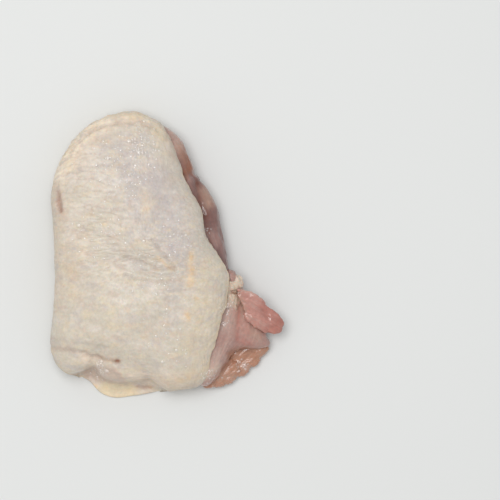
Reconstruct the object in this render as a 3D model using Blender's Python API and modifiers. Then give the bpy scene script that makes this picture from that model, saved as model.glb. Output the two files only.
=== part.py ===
"""Raw chicken thigh, boned and folded, lying skin side up.

A lump of dark meat with its muscle lobes bare along one side, under a loose skin that drapes over
it, hangs down the other sides and turns in underneath, where the thigh lies on it.

X runs across the thigh towards the bare meat, Y runs along it and Z runs up. The origin is on the
surface that the thigh lies on, under the middle of its outline.
"""

import math

import bmesh
import bpy
import numpy as np

MM = 0.001

# Driving sizes, in millimetres
CROWN = (-10.7, 0.0)
CROWN_HEIGHT = 32.0
SKIN_THICKNESS = 1.8
CONTACT_GAP = 0.3

# The skin's outline from above, counter-clockwise from the corner over the bare meat
SKIN_OUTLINE = (
    (24.6, -8.5), (19.6, 0.4), (14.9, 7.4), (13.4, 16.7), (8.0, 27.5), (4.5, 37.6),
    (2.1, 45.0), (-1.0, 50.1), (-6.8, 54.0), (-13.8, 55.9), (-21.5, 54.4), (-30.1, 50.4),
    (-36.3, 43.8), (-41.7, 35.3), (-44.4, 25.2), (-44.0, 12.8), (-43.3, 0.0),
    (-43.3, -13.6), (-44.4, -27.2), (-44.8, -37.0), (-41.5, -44.0), (-36.0, -47.4),
    (-30.5, -49.3), (-25.4, -54.2), (-19.6, -55.9), (-13.0, -55.2), (-5.5, -54.0),
    (3.5, -53.0), (11.5, -50.8), (16.0, -46.0), (17.8, -40.4), (20.2, -33.8),
    (22.3, -24.4), (23.9, -16.3),
)

# The dome: its squareness, and the height at which the side stands upright. Its level cuts are
# the outline smoothed over this spread near the crown, and take on its corners further down.
DOME_POWER = 2.35
SMOOTHING_SPREAD = math.radians(55.0)
WAIST_HEIGHT = 9.0

# The stretch where the skin ends on top of the meat, by the direction from the crown
FREE_FROM = math.radians(-74.0)
FREE_TO = math.radians(80.0)
FREE_BLEND = math.radians(20.0)
FREE_EDGE_TURN = math.radians(73.0)

# How the skin's side turns in under the meat, and the stretch where it splays out instead
TURN_IN = 7.0
TUCK = 11.0
SPLAY_FROM = math.radians(-122.0)
SPLAY_TO = math.radians(-40.0)
SPLAY_BLEND = math.radians(16.0)
SPLAY_OUT = 4.5
SPLAY_RUN = 1.5

# Relief of the skin and the meat under it, which fades out over this height above the waist
RELIEF_FADE = 8.0
# Broad dips: the path, how deep and how wide
DIPS = (
    (((-22.3, -2.7), (-6.0, -5.0), (13.4, -2.7)), 1.6, 7.0),
    (((-47.0, -36.0), (-35.1, -38.0), (-25.4, -38.4), (-18.8, -41.5)), 1.8, 4.0),
)
# Slow swells across and along, whose crests bend a little
SWELL_HEIGHT = 0.7
SWELL_LENGTH_ACROSS, SWELL_LENGTH_ALONG = 34.0, 41.0
SWELL_PHASE_ACROSS, SWELL_PHASE_ALONG = 1.1, 0.4
SWELL_BEND = 0.8

# The muscle lobes and fat of the bare side: along each, the middle, the half width and half height
LOBES = {
    "upper_strip": (
        (-3.0, 47.0, 7.8, 4.2, 6.8), (1.8, 40.0, 8.4, 5.8, 8.4), (4.2, 32.0, 8.6, 6.0, 8.6),
        (7.4, 23.0, 8.0, 5.0, 7.6),
    ),
    "pale_edge": (
        (6.2, 34.0, 10.6, 2.4, 3.2), (9.2, 26.4, 11.0, 3.2, 3.8), (12.2, 18.5, 9.8, 2.6, 3.4),
    ),
    "dark_muscle": (
        (8.4, 25.5, 6.4, 5.0, 6.4), (13.2, 15.4, 7.2, 7.0, 7.8), (15.8, 6.2, 7.4, 7.2, 8.0),
        (19.4, -4.0, 7.2, 5.6, 7.6),
    ),
    "corner_fat": (
        (24.0, -5.5, 8.6, 3.8, 4.6), (26.0, -11.5, 9.2, 4.4, 5.0), (24.6, -19.0, 9.2, 4.0, 5.0),
    ),
    "main_muscle": (
        (22.6, -13.5, 7.4, 6.6, 7.2), (21.4, -24.0, 8.0, 8.8, 8.6), (19.0, -32.6, 7.8, 8.8, 8.4),
        (14.8, -40.4, 6.8, 7.8, 7.0), (9.6, -46.4, 5.0, 5.2, 5.0),
    ),
    "side_muscle": (
        (27.4, -15.5, 5.2, 5.4, 5.6), (30.4, -25.5, 5.8, 7.8, 6.2), (32.4, -34.0, 5.0, 7.0, 5.4),
    ),
    "loose_flap": (
        (26.6, -13.0, 10.2, 2.6, 2.6), (33.0, -19.4, 10.2, 5.2, 3.0), (38.4, -24.2, 8.8, 6.4, 3.4),
        (43.8, -28.0, 6.2, 4.8, 3.2),
    ),
    "low_edge": (
        (9.0, -47.2, 2.6, 3.4, 2.8), (18.8, -45.6, 3.2, 5.0, 3.6), (27.0, -41.0, 3.6, 7.0, 4.0),
        (34.4, -35.2, 3.4, 6.0, 3.8),
    ),
}
LOBE_BLUNTNESS = 0.5
LOBE_STEP = 0.02

# The core under the skin: its least turn in below the waist, its room at the skin's rim, the width
# of the step down past it, and how far it is made to reach below the floor before it is cut flat
CORE_TURN_IN = 2.5
RIM_ROOM = 2.0
STEP_WIDTH = 5.0
BELOW_FLOOR = 2.0

# The block that cuts the meat flat below
FLOOR_BLOCK = (160.0, 160.0, 30.0)

# Mesh steps
SECTION_STEPS = 48
SMOOTHING_STEPS = 9
SKIN_STEPS = 38
CORE_SEGMENTS, CORE_RINGS = 52, 26
LOBE_SEGMENTS, LOBE_RINGS = 14, 18

# Colours from the raw meat: red, green, blue, and roughness
SKIN_LOOK = ((0.66, 0.56, 0.44), 0.38)
MEAT_LOOK = ((0.42, 0.17, 0.14), 0.32)


def smooth_through(knots, values, at):
    """Cubic curve through values at the knots, its slope at each taken from the knots beside it."""
    slopes = np.gradient(values, knots)
    left = np.clip(np.searchsorted(knots, at) - 1, 0, len(knots) - 2)
    width = knots[left + 1] - knots[left]
    t = (at - knots[left]) / width
    rise = 3 * t**2 - 2 * t**3
    return (
        values[left] * (1 - rise)
        + values[left + 1] * rise
        + slopes[left] * width * (t**3 - 2 * t**2 + t)
        + slopes[left + 1] * width * (t**3 - t**2)
    )


def smooth_step(low, high, at):
    """0 below low, 1 above high, and an S curve between."""
    t = np.clip((at - low) / (high - low), 0.0, 1.0)
    return t * t * (3 - 2 * t)


def outline_radius(angle):
    """Distance from the crown to the skin's outline in each direction."""
    offsets = np.array(SKIN_OUTLINE) - CROWN
    knots = np.unwrap(np.arctan2(offsets[:, 1], offsets[:, 0]))
    radii = np.hypot(offsets[:, 0], offsets[:, 1])
    turn = 2 * math.pi
    knots = np.concatenate([knots - turn, knots, knots + turn])
    return smooth_through(knots, np.tile(radii, 3), np.mod(angle, turn))


def smoothed_radius(radius, angle):
    """The mean of a radius over the directions beside each, within the smoothing spread."""
    offsets = np.linspace(-SMOOTHING_SPREAD, SMOOTHING_SPREAD, SMOOTHING_STEPS)
    return sum(radius(angle + offset) for offset in offsets) / SMOOTHING_STEPS


def stretch_share(angle, start, end, blend):
    """1 in the directions from start to end, falling to 0 over the blend inside both."""
    angle = np.mod(angle + math.pi, 2 * math.pi) - math.pi
    return smooth_step(start, start + blend, angle) * (1 - smooth_step(end - blend, end, angle))


def free_share(angle):
    """1 where the skin ends on top of the bare meat, 0 where it hangs down."""
    return stretch_share(angle, FREE_FROM, FREE_TO, FREE_BLEND)


def splay_share(angle):
    """1 where the skin splays out over the surface that it lies on, 0 where it turns in."""
    return stretch_share(angle, SPLAY_FROM, SPLAY_TO, SPLAY_BLEND)


def waist_radius(angle):
    """Distance from the crown to where the side stands upright, so that the rim meets the outline."""
    free, splay = free_share(angle), splay_share(angle)
    edge_reach = math.sin(FREE_EDGE_TURN) ** (2 / DOME_POWER)
    hanging = outline_radius(angle) - (SPLAY_OUT + SPLAY_RUN) * splay
    return hanging + (outline_radius(angle) / edge_reach - hanging) * free


def path_distance(x, y, path):
    """Distance from each point to the nearest stretch of a path of straight runs, seen from above."""
    nearest = np.full(np.shape(x), np.inf)
    for (ax, ay), (bx, by) in zip(path, path[1:]):
        run = np.array((bx - ax, by - ay))
        along = np.clip(((x - ax) * run[0] + (y - ay) * run[1]) / (run @ run), 0.0, 1.0)
        nearest = np.minimum(nearest, np.hypot(x - ax - along * run[0], y - ay - along * run[1]))
    return nearest


def relief(x, y):
    """How far the top surface stands above the plain dome: slow swells, less the broad dips."""
    across = 2 * math.pi * x / SWELL_LENGTH_ACROSS + SWELL_PHASE_ACROSS
    along = 2 * math.pi * y / SWELL_LENGTH_ALONG + SWELL_PHASE_ALONG
    height = SWELL_HEIGHT * np.sin(across + SWELL_BEND * np.sin(along)) * np.cos(along)
    for path, depth, width in DIPS:
        height = height - depth * np.exp(-((path_distance(x, y, path) / width) ** 2))
    return height


def with_relief(angle, radius, height):
    """Points at a radius and a height in each direction from the crown, with the relief on top."""
    x = CROWN[0] + radius * np.cos(angle)
    y = CROWN[1] + radius * np.sin(angle)
    on_top = smooth_step(WAIST_HEIGHT, WAIST_HEIGHT + RELIEF_FADE, height)
    return np.stack([x, y, height + on_top * relief(x, y)], axis=1)


def dome_reach(angle, waist, turn):
    """The waist's radius, nearer to the smoothed one the closer the turn is to the crown."""
    share = smooth_step(0.0, 1.0, turn / (math.pi / 2)) ** 1.5
    rounded = smoothed_radius(waist_radius, angle)
    return rounded + (waist - rounded) * share


def skin_section(angle):
    """The skin's outer face cut upright in each direction: radii and heights from the crown to its rim.

    The dome is a superellipse quarter down to the waist. Below it an ellipse quarter turns in, or
    out where the skin splays, and a level run lies on the surface below. The last point is a
    little past the rim.
    """
    angle = np.asarray(angle)[:, None]
    free, splay, waist = free_share(angle), splay_share(angle), waist_radius(angle)
    squareness = 2 / DOME_POWER
    turn = np.linspace(0, math.pi / 2, SECTION_STEPS)[None, :]
    dome_radius = dome_reach(angle, waist, turn) * np.sin(turn) ** squareness
    dome_height = WAIST_HEIGHT + (CROWN_HEIGHT - WAIST_HEIGHT) * np.cos(turn).clip(0) ** squareness
    turn_in = TURN_IN - (TURN_IN + SPLAY_OUT) * splay
    lowest = SKIN_THICKNESS * splay
    side_radius = waist - turn_in * (1 - np.cos(turn))
    side_height = WAIST_HEIGHT - (WAIST_HEIGHT - lowest) * np.sin(turn)
    run = (-TUCK + (TUCK + SPLAY_RUN) * splay) * np.array((1 / 3, 2 / 3, 1.0, 1.0))
    past_rim = (2 * splay - 1) * np.array((0.0, 0.0, 0.0, 1.0))
    run_radius = waist - turn_in + run + past_rim
    radii = np.concatenate([dome_radius, side_radius[:, 1:], run_radius], axis=1)
    dome_height = np.broadcast_to(dome_height, dome_radius.shape)
    run_height = np.broadcast_to(lowest, run_radius.shape)
    heights = np.concatenate([dome_height, side_height[:, 1:], run_height], axis=1)
    return radii, heights, free[:, 0]


def skin_points(angle, share, margin=0.0):
    """Points of the skin's outer face: share is how far each lies along its section, 0 at the crown.

    The margin is added to the length of each section at its rim.
    """
    radii, heights, free = skin_section(angle)
    lengths = np.cumsum(np.hypot(np.diff(radii, axis=1), np.diff(heights, axis=1)), axis=1)
    lengths = np.concatenate([np.zeros((len(lengths), 1)), lengths], axis=1)
    edge_step = int(round(FREE_EDGE_TURN / (math.pi / 2) * (SECTION_STEPS - 1)))
    reach = lengths[:, -2] + (lengths[:, edge_step] - lengths[:, -2]) * free + margin
    target = (share * reach)[:, None]
    left = np.clip((lengths <= target).sum(axis=1) - 1, 0, lengths.shape[1] - 2)
    row = np.arange(len(left))
    span = lengths[row, left + 1] - lengths[row, left]
    t = np.minimum((target[:, 0] - lengths[row, left]) / np.maximum(span, 1e-9), 1.0)
    radius = radii[row, left] + t * (radii[row, left + 1] - radii[row, left])
    height = heights[row, left] + t * (heights[row, left + 1] - heights[row, left])
    return with_relief(angle, radius, height)


def core_points(angle, polar):
    """Points of the lump of meat under the skin: polar is 0 at the crown and pi at the middle below.

    The lump keeps the skin's thickness and the contact gap inside the skin's outer face. Its
    underside steps down to the surface below past the rim of the turned-in skin.
    """
    inset = SKIN_THICKNESS + 3 * CONTACT_GAP
    splay, waist = splay_share(angle), waist_radius(angle) - inset
    squareness = 2 / DOME_POWER
    turn_in = np.maximum(TURN_IN - (TURN_IN + SPLAY_OUT) * splay - inset, CORE_TURN_IN)
    above = np.clip(polar, 0, math.pi / 2)
    side = np.clip(2 * (polar - math.pi / 2), 0, math.pi / 2)
    under = np.clip((polar - 3 * math.pi / 4) / (math.pi / 4), 0, 1)
    dome_height = CROWN_HEIGHT - inset - WAIST_HEIGHT
    grounded = stretch_share(angle, SPLAY_FROM + SPLAY_BLEND, FREE_TO - FREE_BLEND / 2, FREE_BLEND / 2)
    over_skin = inset + SKIN_THICKNESS * splay
    lifted = over_skin - (over_skin + BELOW_FLOOR) * grounded
    rim = waist - turn_in
    step_at = TURN_IN - turn_in - inset + TUCK + RIM_ROOM
    step_end = step_at + STEP_WIDTH
    inward = np.where(
        under < 0.5,
        under / 0.5 * step_end,
        step_end + (under - 0.5) / 0.5 * (rim - step_end),
    )
    lowest = lifted - (BELOW_FLOOR + lifted) * smooth_step(step_at, step_end, inward)
    radius = np.where(
        polar <= math.pi / 2,
        (dome_reach(angle, waist + inset, above) - inset) * np.sin(above) ** squareness,
        waist - turn_in * (1 - np.cos(side)) - inward,
    )
    height = np.where(
        polar <= math.pi / 2,
        WAIST_HEIGHT + dome_height * np.cos(above).clip(0) ** squareness,
        WAIST_HEIGHT - (WAIST_HEIGHT - lowest) * np.sin(side),
    )
    return with_relief(angle, radius, height)


def lobe_points(stations, around, polar):
    """Points of a muscle lobe: an oval section carried along a smooth path, with blunt round ends."""
    stations = np.array(stations)
    knots = np.linspace(0, 1, len(stations))
    place = (1 - np.cos(polar)) / 2

    def at(share):
        return np.stack([smooth_through(knots, column, share) for column in stations.T], axis=1)

    here = at(place)
    along = (at(np.minimum(place + LOBE_STEP, 1.0)) - at(np.maximum(place - LOBE_STEP, 0.0)))[:, :3]
    along /= np.linalg.norm(along, axis=1, keepdims=True)
    aside = np.cross(along, (0.0, 0.0, 1.0))
    aside /= np.linalg.norm(aside, axis=1, keepdims=True)
    upward = np.cross(aside, along)
    fullness = np.sin(polar).clip(0) ** LOBE_BLUNTNESS
    across = (here[:, 3] * fullness * np.cos(around))[:, None]
    upright = (here[:, 4] * fullness * np.sin(around))[:, None]
    return here[:, :3] + aside * across + upward * upright


def clear_scene():
    for obj in list(bpy.data.objects):
        bpy.data.objects.remove(obj, do_unlink=True)


def new_collection(name):
    collection = bpy.data.collections.new(name)
    bpy.context.scene.collection.children.link(collection)
    return collection


def material(name, look):
    """A plain wet surface of one colour."""
    (red, green, blue), roughness = look
    made = bpy.data.materials.new(name)
    made.use_nodes = True
    shader = made.node_tree.nodes["Principled BSDF"]
    shader.inputs["Base Color"].default_value = (red, green, blue, 1.0)
    shader.inputs["Roughness"].default_value = roughness
    shader.inputs["Metallic"].default_value = 0.0
    return made


def object_from(name, bm, collection):
    """An object of flat triangles, which the Booleans cut cleanly."""
    bmesh.ops.triangulate(bm, faces=bm.faces)
    mesh = bpy.data.meshes.new(name)
    bm.to_mesh(mesh)
    bm.free()
    mesh.shade_smooth()
    made = bpy.data.objects.new(name, mesh)
    collection.objects.link(made)
    return made


def move_points(bm, points):
    """Puts each vertex of bm at the point, in millimetres, of the same row."""
    for vertex, point in zip(bm.verts, points):
        vertex.co = point * MM


def skin_sheet(name, collection, margin=0.0):
    """The skin's outer face as an open sheet, from a square grid that is rounded into a disc."""
    bm = bmesh.new()
    bmesh.ops.create_grid(bm, x_segments=SKIN_STEPS, y_segments=SKIN_STEPS, size=1.0)
    a, b = np.array([vertex.co[:2] for vertex in bm.verts], float).T
    disc_x, disc_y = a * np.sqrt(1 - b**2 / 2), b * np.sqrt(1 - a**2 / 2)
    share = np.hypot(disc_x, disc_y).clip(0, 1)
    move_points(bm, skin_points(np.arctan2(disc_y, disc_x), share, margin))
    return object_from(name, bm, collection)


def add_thickness(sheet, thickness, outward):
    """Gives the sheet its thickness, inward from its outer face but for the outward share."""
    solidify = sheet.modifiers.new("thickness", "SOLIDIFY")
    solidify.thickness = thickness * MM
    solidify.offset = -1.0 + 2.0 * outward / thickness
    solidify.use_even_offset = False


def lathe_ball(segments, rings):
    """A ball with each vertex's direction around Z and its angle from the top."""
    bm = bmesh.new()
    bmesh.ops.create_uvsphere(bm, u_segments=segments, v_segments=rings, radius=1.0)
    spots = np.array([vertex.co[:] for vertex in bm.verts], float)
    return bm, np.arctan2(spots[:, 1], spots[:, 0]), np.arccos(spots[:, 2].clip(-1, 1))


def meat_core(name, collection):
    bm, angle, polar = lathe_ball(CORE_SEGMENTS, CORE_RINGS)
    move_points(bm, core_points(angle, polar))
    return object_from(name, bm, collection)


def meat_lobe(name, stations, collection):
    bm, around, polar = lathe_ball(LOBE_SEGMENTS, LOBE_RINGS)
    move_points(bm, lobe_points(stations, around, polar))
    bmesh.ops.recalc_face_normals(bm, faces=bm.faces)
    return object_from(name, bm, collection)


def floor_cutter(collection):
    """A block below the surface that the thigh lies on."""
    bm = bmesh.new()
    bmesh.ops.create_cube(bm, size=1.0)
    drop = (0.0, 0.0, -FLOOR_BLOCK[2] / 2)
    move_points(bm, [np.array(vertex.co) * FLOOR_BLOCK + drop for vertex in bm.verts])
    return object_from("below_the_floor", bm, collection)


def boolean(target, name, operation, other):
    """Joins or cuts target with another object, or with every object of a collection."""
    modifier = target.modifiers.new(name, "BOOLEAN")
    modifier.operation = operation
    modifier.solver = "EXACT"
    if isinstance(other, bpy.types.Collection):
        modifier.operand_type = "COLLECTION"
        modifier.collection = other
    else:
        modifier.object = other


def apply_modifiers(target):
    """Replaces the object's mesh with what its modifiers make of it."""
    graph = bpy.context.evaluated_depsgraph_get()
    evaluated = bpy.data.meshes.new_from_object(target.evaluated_get(graph))
    target.modifiers.clear()
    target.data = evaluated


def hide_cutter(cutter):
    cutter.hide_render = True
    cutter.display_type = "WIRE"


def build():
    clear_scene()
    thigh = new_collection("chicken_thigh")
    cutters = new_collection("cutters")

    skin = skin_sheet("skin", thigh)
    add_thickness(skin, SKIN_THICKNESS, 0.0)
    skin.data.materials.append(material("raw_skin", SKIN_LOOK))

    meat = meat_core("meat", thigh)
    lobes = new_collection("lobes")
    for name, stations in LOBES.items():
        meat_lobe(name, stations, lobes)
    boolean(meat, "join_lobes", "UNION", lobes)
    apply_modifiers(meat)
    for obj in list(lobes.objects):
        bpy.data.objects.remove(obj, do_unlink=True)
    bpy.data.collections.remove(lobes)

    below = floor_cutter(cutters)
    clearance = skin_sheet("skin_clearance", cutters, margin=2 * CONTACT_GAP)
    add_thickness(clearance, SKIN_THICKNESS + 2 * CONTACT_GAP, CONTACT_GAP)
    for cutter in (below, clearance):
        hide_cutter(cutter)
    boolean(meat, "flat_below", "DIFFERENCE", below)
    boolean(meat, "room_for_skin", "DIFFERENCE", clearance)
    meat.data.materials.append(material("raw_meat", MEAT_LOOK))


build()
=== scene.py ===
"""Raw chicken thigh, skin side up: its looks, laid around the fixed frame of its CAD part.

A loose pale skin drapes over a lump of dark meat whose muscles and fat lie bare along one side.
Sizes in this file are in millimetres unless a name says otherwise, and meshes are in metres.
X runs across the thigh towards the bare meat, Y runs along it and Z runs up.
"""

import math

import bpy
import numpy as np
from bpy.props import FloatProperty, FloatVectorProperty, IntProperty, PointerProperty
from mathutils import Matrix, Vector


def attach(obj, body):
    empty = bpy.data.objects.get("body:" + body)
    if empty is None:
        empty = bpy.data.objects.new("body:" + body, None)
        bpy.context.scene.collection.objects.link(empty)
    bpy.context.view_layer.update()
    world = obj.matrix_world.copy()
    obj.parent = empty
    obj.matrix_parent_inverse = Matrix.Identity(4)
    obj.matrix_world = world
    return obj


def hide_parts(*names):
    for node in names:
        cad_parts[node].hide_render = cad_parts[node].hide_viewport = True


bl_info = {
    "name": "Raw Chicken Thigh",
    "version": (1, 0, 0),
    "blender": (4, 5, 0),
    "location": "3D View > Sidebar > Chicken Thigh",
    "description": "Makes the skin, muscles, fat and wet sheen of a raw chicken thigh",
    "category": "Object",
}

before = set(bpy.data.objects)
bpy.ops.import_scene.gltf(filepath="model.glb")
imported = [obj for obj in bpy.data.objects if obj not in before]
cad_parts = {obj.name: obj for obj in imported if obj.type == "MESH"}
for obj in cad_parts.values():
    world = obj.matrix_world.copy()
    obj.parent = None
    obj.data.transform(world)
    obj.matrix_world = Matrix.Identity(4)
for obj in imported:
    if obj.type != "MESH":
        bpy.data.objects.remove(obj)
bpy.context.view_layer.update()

MM = 0.001
TURN = 2 * math.pi
NOISE_SIZE = 128

# The skin: the part's driving sizes, except that the stretch that splays out is narrower
CROWN = (-10.7, 0.0)
CROWN_HEIGHT = 32.0
SKIN_THICKNESS = 1.8
SKIN_OUTLINE = (
    (24.6, -8.5), (19.6, 0.4), (14.9, 7.4), (13.4, 16.7), (8.0, 27.5), (4.5, 37.6),
    (2.1, 45.0), (-1.0, 50.1), (-6.8, 54.0), (-13.8, 55.9), (-21.5, 54.4), (-30.1, 50.4),
    (-36.3, 43.8), (-41.7, 35.3), (-44.4, 25.2), (-44.0, 12.8), (-43.3, 0.0),
    (-43.3, -13.6), (-44.4, -27.2), (-44.8, -37.0), (-41.5, -44.0), (-36.0, -47.4),
    (-30.5, -49.3), (-25.4, -54.2), (-19.6, -55.9), (-13.0, -55.2), (-5.5, -54.0),
    (3.5, -53.0), (11.5, -50.8), (16.0, -46.0), (17.8, -40.4), (20.2, -33.8),
    (22.3, -24.4), (23.9, -16.3),
)
DOME_POWER = 2.35
SMOOTHING_SPREAD = math.radians(55.0)
SMOOTHING_STEPS = 9
SMOOTHING_POWER = 1.5
WAIST_HEIGHT = 9.0
FREE_FROM = math.radians(-74.0)
FREE_TO = math.radians(80.0)
FREE_BLEND = math.radians(20.0)
FREE_EDGE_TURN = math.radians(73.0)
TURN_IN = 7.0
TUCK = 11.0
SPLAY_FROM = math.radians(-131.0)
SPLAY_TO = math.radians(-66.0)
SPLAY_BLEND = math.radians(20.0)
SPLAY_OUT = 4.5
SPLAY_RUN = 1.5
RELIEF_FADE = 8.0
DIPS = (
    (((-22.3, -2.7), (-6.0, -5.0), (13.4, -2.7)), 1.6, 7.0),
    (((-47.0, -36.0), (-35.1, -38.0), (-25.4, -38.4), (-18.8, -41.5)), 1.8, 4.0),
)
SWELL_HEIGHT = 0.7
SWELL_LENGTH_ACROSS, SWELL_LENGTH_ALONG = 34.0, 41.0
SWELL_PHASE_ACROSS, SWELL_PHASE_ALONG = 1.1, 0.4
SWELL_BEND = 0.8
SECTION_STEPS, RUN_STEPS = 150, 9
RIM_WAVES, RIM_NOTCHES, RIM_NICKS = 27, 60, 130
RIM_SEAM_BLEND = 0.3
HANGING_WAVER, WAVER_INWARD = 0.3, 0.5
RIM_STEPS = 6
INNER_ROW_STEP = 4
SHORT_RUN = 2.0
SHORT_RUN_THINNING, FREE_THINNING = 0.8, 0.45
UNDERSIDE_HEIGHT, UNDERSIDE_SMOOTHING = 0.3, 0.8
DEEPEST_RELIEF = 0.75
RUFFLE_WAVES, RUFFLE_LIFT, RUFFLE_HEIGHT = 60, 0.5, 0.7

# Creases pressed into the skin: the path, how deep and how wide
CREASES = (
    (((-42.0, 27.2), (-41.6, 22.0), (-40.4, 16.9)), 0.9, 1.0),
    (((-46.0, -35.4), (-40.9, -36.8), (-35.0, -37.4)), 0.6, 1.0),
    (((-33.2, -37.9), (-25.4, -39.8), (-20.4, -41.4)), 0.9, 0.9),
    (((-44.0, -32.5), (-36.0, -34.2), (-27.0, -35.2), (-20.0, -36.2)), 0.3, 0.8),
    (((-15.9, -1.0), (-9.5, -2.6), (-2.5, -5.2), (3.5, -5.4)), 0.55, 0.8),
    (((-19.5, -3.6), (-12.0, -5.6), (-4.5, -7.6), (2.0, -8.0)), 0.42, 0.8),
    (((-15.0, -7.6), (-7.0, -9.6), (0.5, -10.4), (6.5, -9.8)), 0.5, 0.8),
    (((-21.0, 1.6), (-13.0, 0.8), (-5.5, -1.6), (0.0, -3.4)), 0.3, 0.7),
    (((-5.0, 6.0), (-1.5, 1.4), (1.4, -2.4), (3.6, -5.0)), 0.6, 0.8),
    (((-33.0, 2.0), (-26.0, 3.8), (-18.0, 3.4)), 0.24, 0.8),
    (((-36.0, 9.0), (-28.0, 10.0), (-20.0, 9.0)), 0.2, 0.7),
    (((-38.0, -6.0), (-31.0, -8.6), (-24.0, -8.8)), 0.24, 0.9),
    (((1.0, -14.6), (6.0, -13.4), (11.0, -14.2)), 0.22, 0.7),
    (((10.0, -38.0), (13.5, -30.0), (16.0, -20.0), (17.0, -10.0)), 0.16, 0.9),
    (((-37.5, 40.0), (-31.5, 46.2), (-25.4, 49.6), (-18.4, 51.4), (-11.0, 51.6), (-5.0, 50.0)), 0.55, 0.8),
    (((-30.0, 42.5), (-24.0, 45.4), (-17.0, 47.6)), 0.3, 0.8),
)
PIT = (((-19.0, -41.6), (-18.5, -41.6)), 1.1, 0.65)
# The foot of the folded roll: past it the skin steps down to a thinner apron
ROLL_FOOT = (
    (-44.0, -49.4), (-40.2, -47.8), (-35.6, -45.4), (-31.2, -43.6), (-25.4, -42.8),
    (-20.4, -44.4), (-14.6, -49.0), (-6.0, -51.8), (2.0, -52.6),
)
ROLL_DROP, ROLL_STEEPNESS = 1.2, 1.6
# The mauve patch under the roll's foot: its own mauve with painted shade where the skin folds over
FOLD_SHADE_PATCH = (
    (-36.4, -46.6), (-32.4, -45.0), (-29.0, -43.4), (-25.0, -42.8), (-20.4, -43.6), (-17.0, -46.4),
    (-14.0, -50.6), (-18.0, -50.6), (-23.0, -50.2), (-27.0, -49.8), (-30.4, -48.2), (-33.4, -47.4),
)

# The skin's lumps, layer by layer: the height, the lengths across and along, and the seed
SKIN_LUMPS = ((0.3, 7.0, 6.0, 21), (0.13, 2.6, 2.2, 25), (0.05, 0.9, 0.8, 28))
# Stretches where a relief is strong: the path and the width
LEFT_FOLDS = (((-30.0, 36.0), (-26.0, 16.0)), 15.0)
MIDDLE_FOLDS = (((-36.0, 2.0), (-6.0, -4.0)), 9.0)
EDGE_WAVES = (((20.0, -14.0), (15.0, -40.0)), 9.0)
FRINGE = (((-38.0, 42.0), (-22.0, 52.0), (-8.0, 51.0), (-1.0, 43.0)), 4.5)
GOOSE_BUMPS = (((-12.0, 50.0), (-9.0, 44.0), (-10.0, 36.0)), 7.0)
# Fine wrinkles: their lengths across and along and their seed, then how steep and deep they are and how
# much painted shade darkens them
LEVEL_WRINKLES, LEVEL_SLANT, LEVEL_SHADE = (8.0, 2.1, 31), 40.0, 0.5
CROSS_WRINKLES, CROSS_DEPTH, CROSS_SHADE = (3.0, 3.0, 35), 0.1, 0.3
LEVEL_ALL_OVER, LEVEL_MIDDLE = 0.3, 0.5
CREASE_WAVER, CREASE_WAVER_LENGTH = 0.7, 3.0
LIP_HEIGHT, LIP_WIDTH, CREASE_SHADE = 0.25, 2.4, 1.6
EDGE_WAVE_HEIGHT, EDGE_WAVE_LENGTH, EDGE_WAVE_BEND = 0.06, 2.6, 5.0
EDGE_WAVES_START, EDGE_WAVES_END = (0.4, 1.4), (4.0, 9.0)
FRINGE_HEIGHT, FRINGE_LENGTH = 0.95, 2.4
# Goose bumps and follicles: the lengths across and along, the seed, and how high they stand
GOOSE_SPACING, GOOSE_HEIGHT = (1.35, 1.1, 51), 1.6
FOLLICLE_SPACING, FOLLICLE_HEIGHT = (1.8, 1.8, 55), 0.2
# Unevenness on the skin: the middle, the swing, the length and the seed
CREASE_NOISE = (0.8, 0.5, 2.4, 39)
SKIN_WASH_NOISE = (0.8, 0.5, 3.0, 600)
RIM_NOISE = (1.0, 0.6, 2.0, 89)
PATCH_NOISE, PATCH_EDGE_NOISE = (0.8, 0.4, 2.0, 83), (0.0, 0.9, 1.6, 81)
SKIN_GRAIN_NOISE = (1.0, 0.04, 0.8, 91)
WET_NOISE = (0.8, 0.4, 3.0, 95)

# Colours, linear
CREAM = (0.625, 0.563, 0.462)
PALE = (0.735, 0.665, 0.590)
LILAC = (0.520, 0.466, 0.452)
GREY = (0.530, 0.490, 0.425)
TAN = (0.690, 0.565, 0.420)
YELLOW = (0.780, 0.630, 0.405)
ORANGE = (0.780, 0.520, 0.260)
ROSE_SKIN = (0.640, 0.490, 0.400)
RED_BROWN = (0.320, 0.140, 0.085)
PEACH = (0.850, 0.700, 0.560)
PEACH_PAINTED_LIGHT = (0.960, 0.830, 0.670)
MAUVE_FOLD_SHADE = (0.590, 0.460, 0.375)
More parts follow.
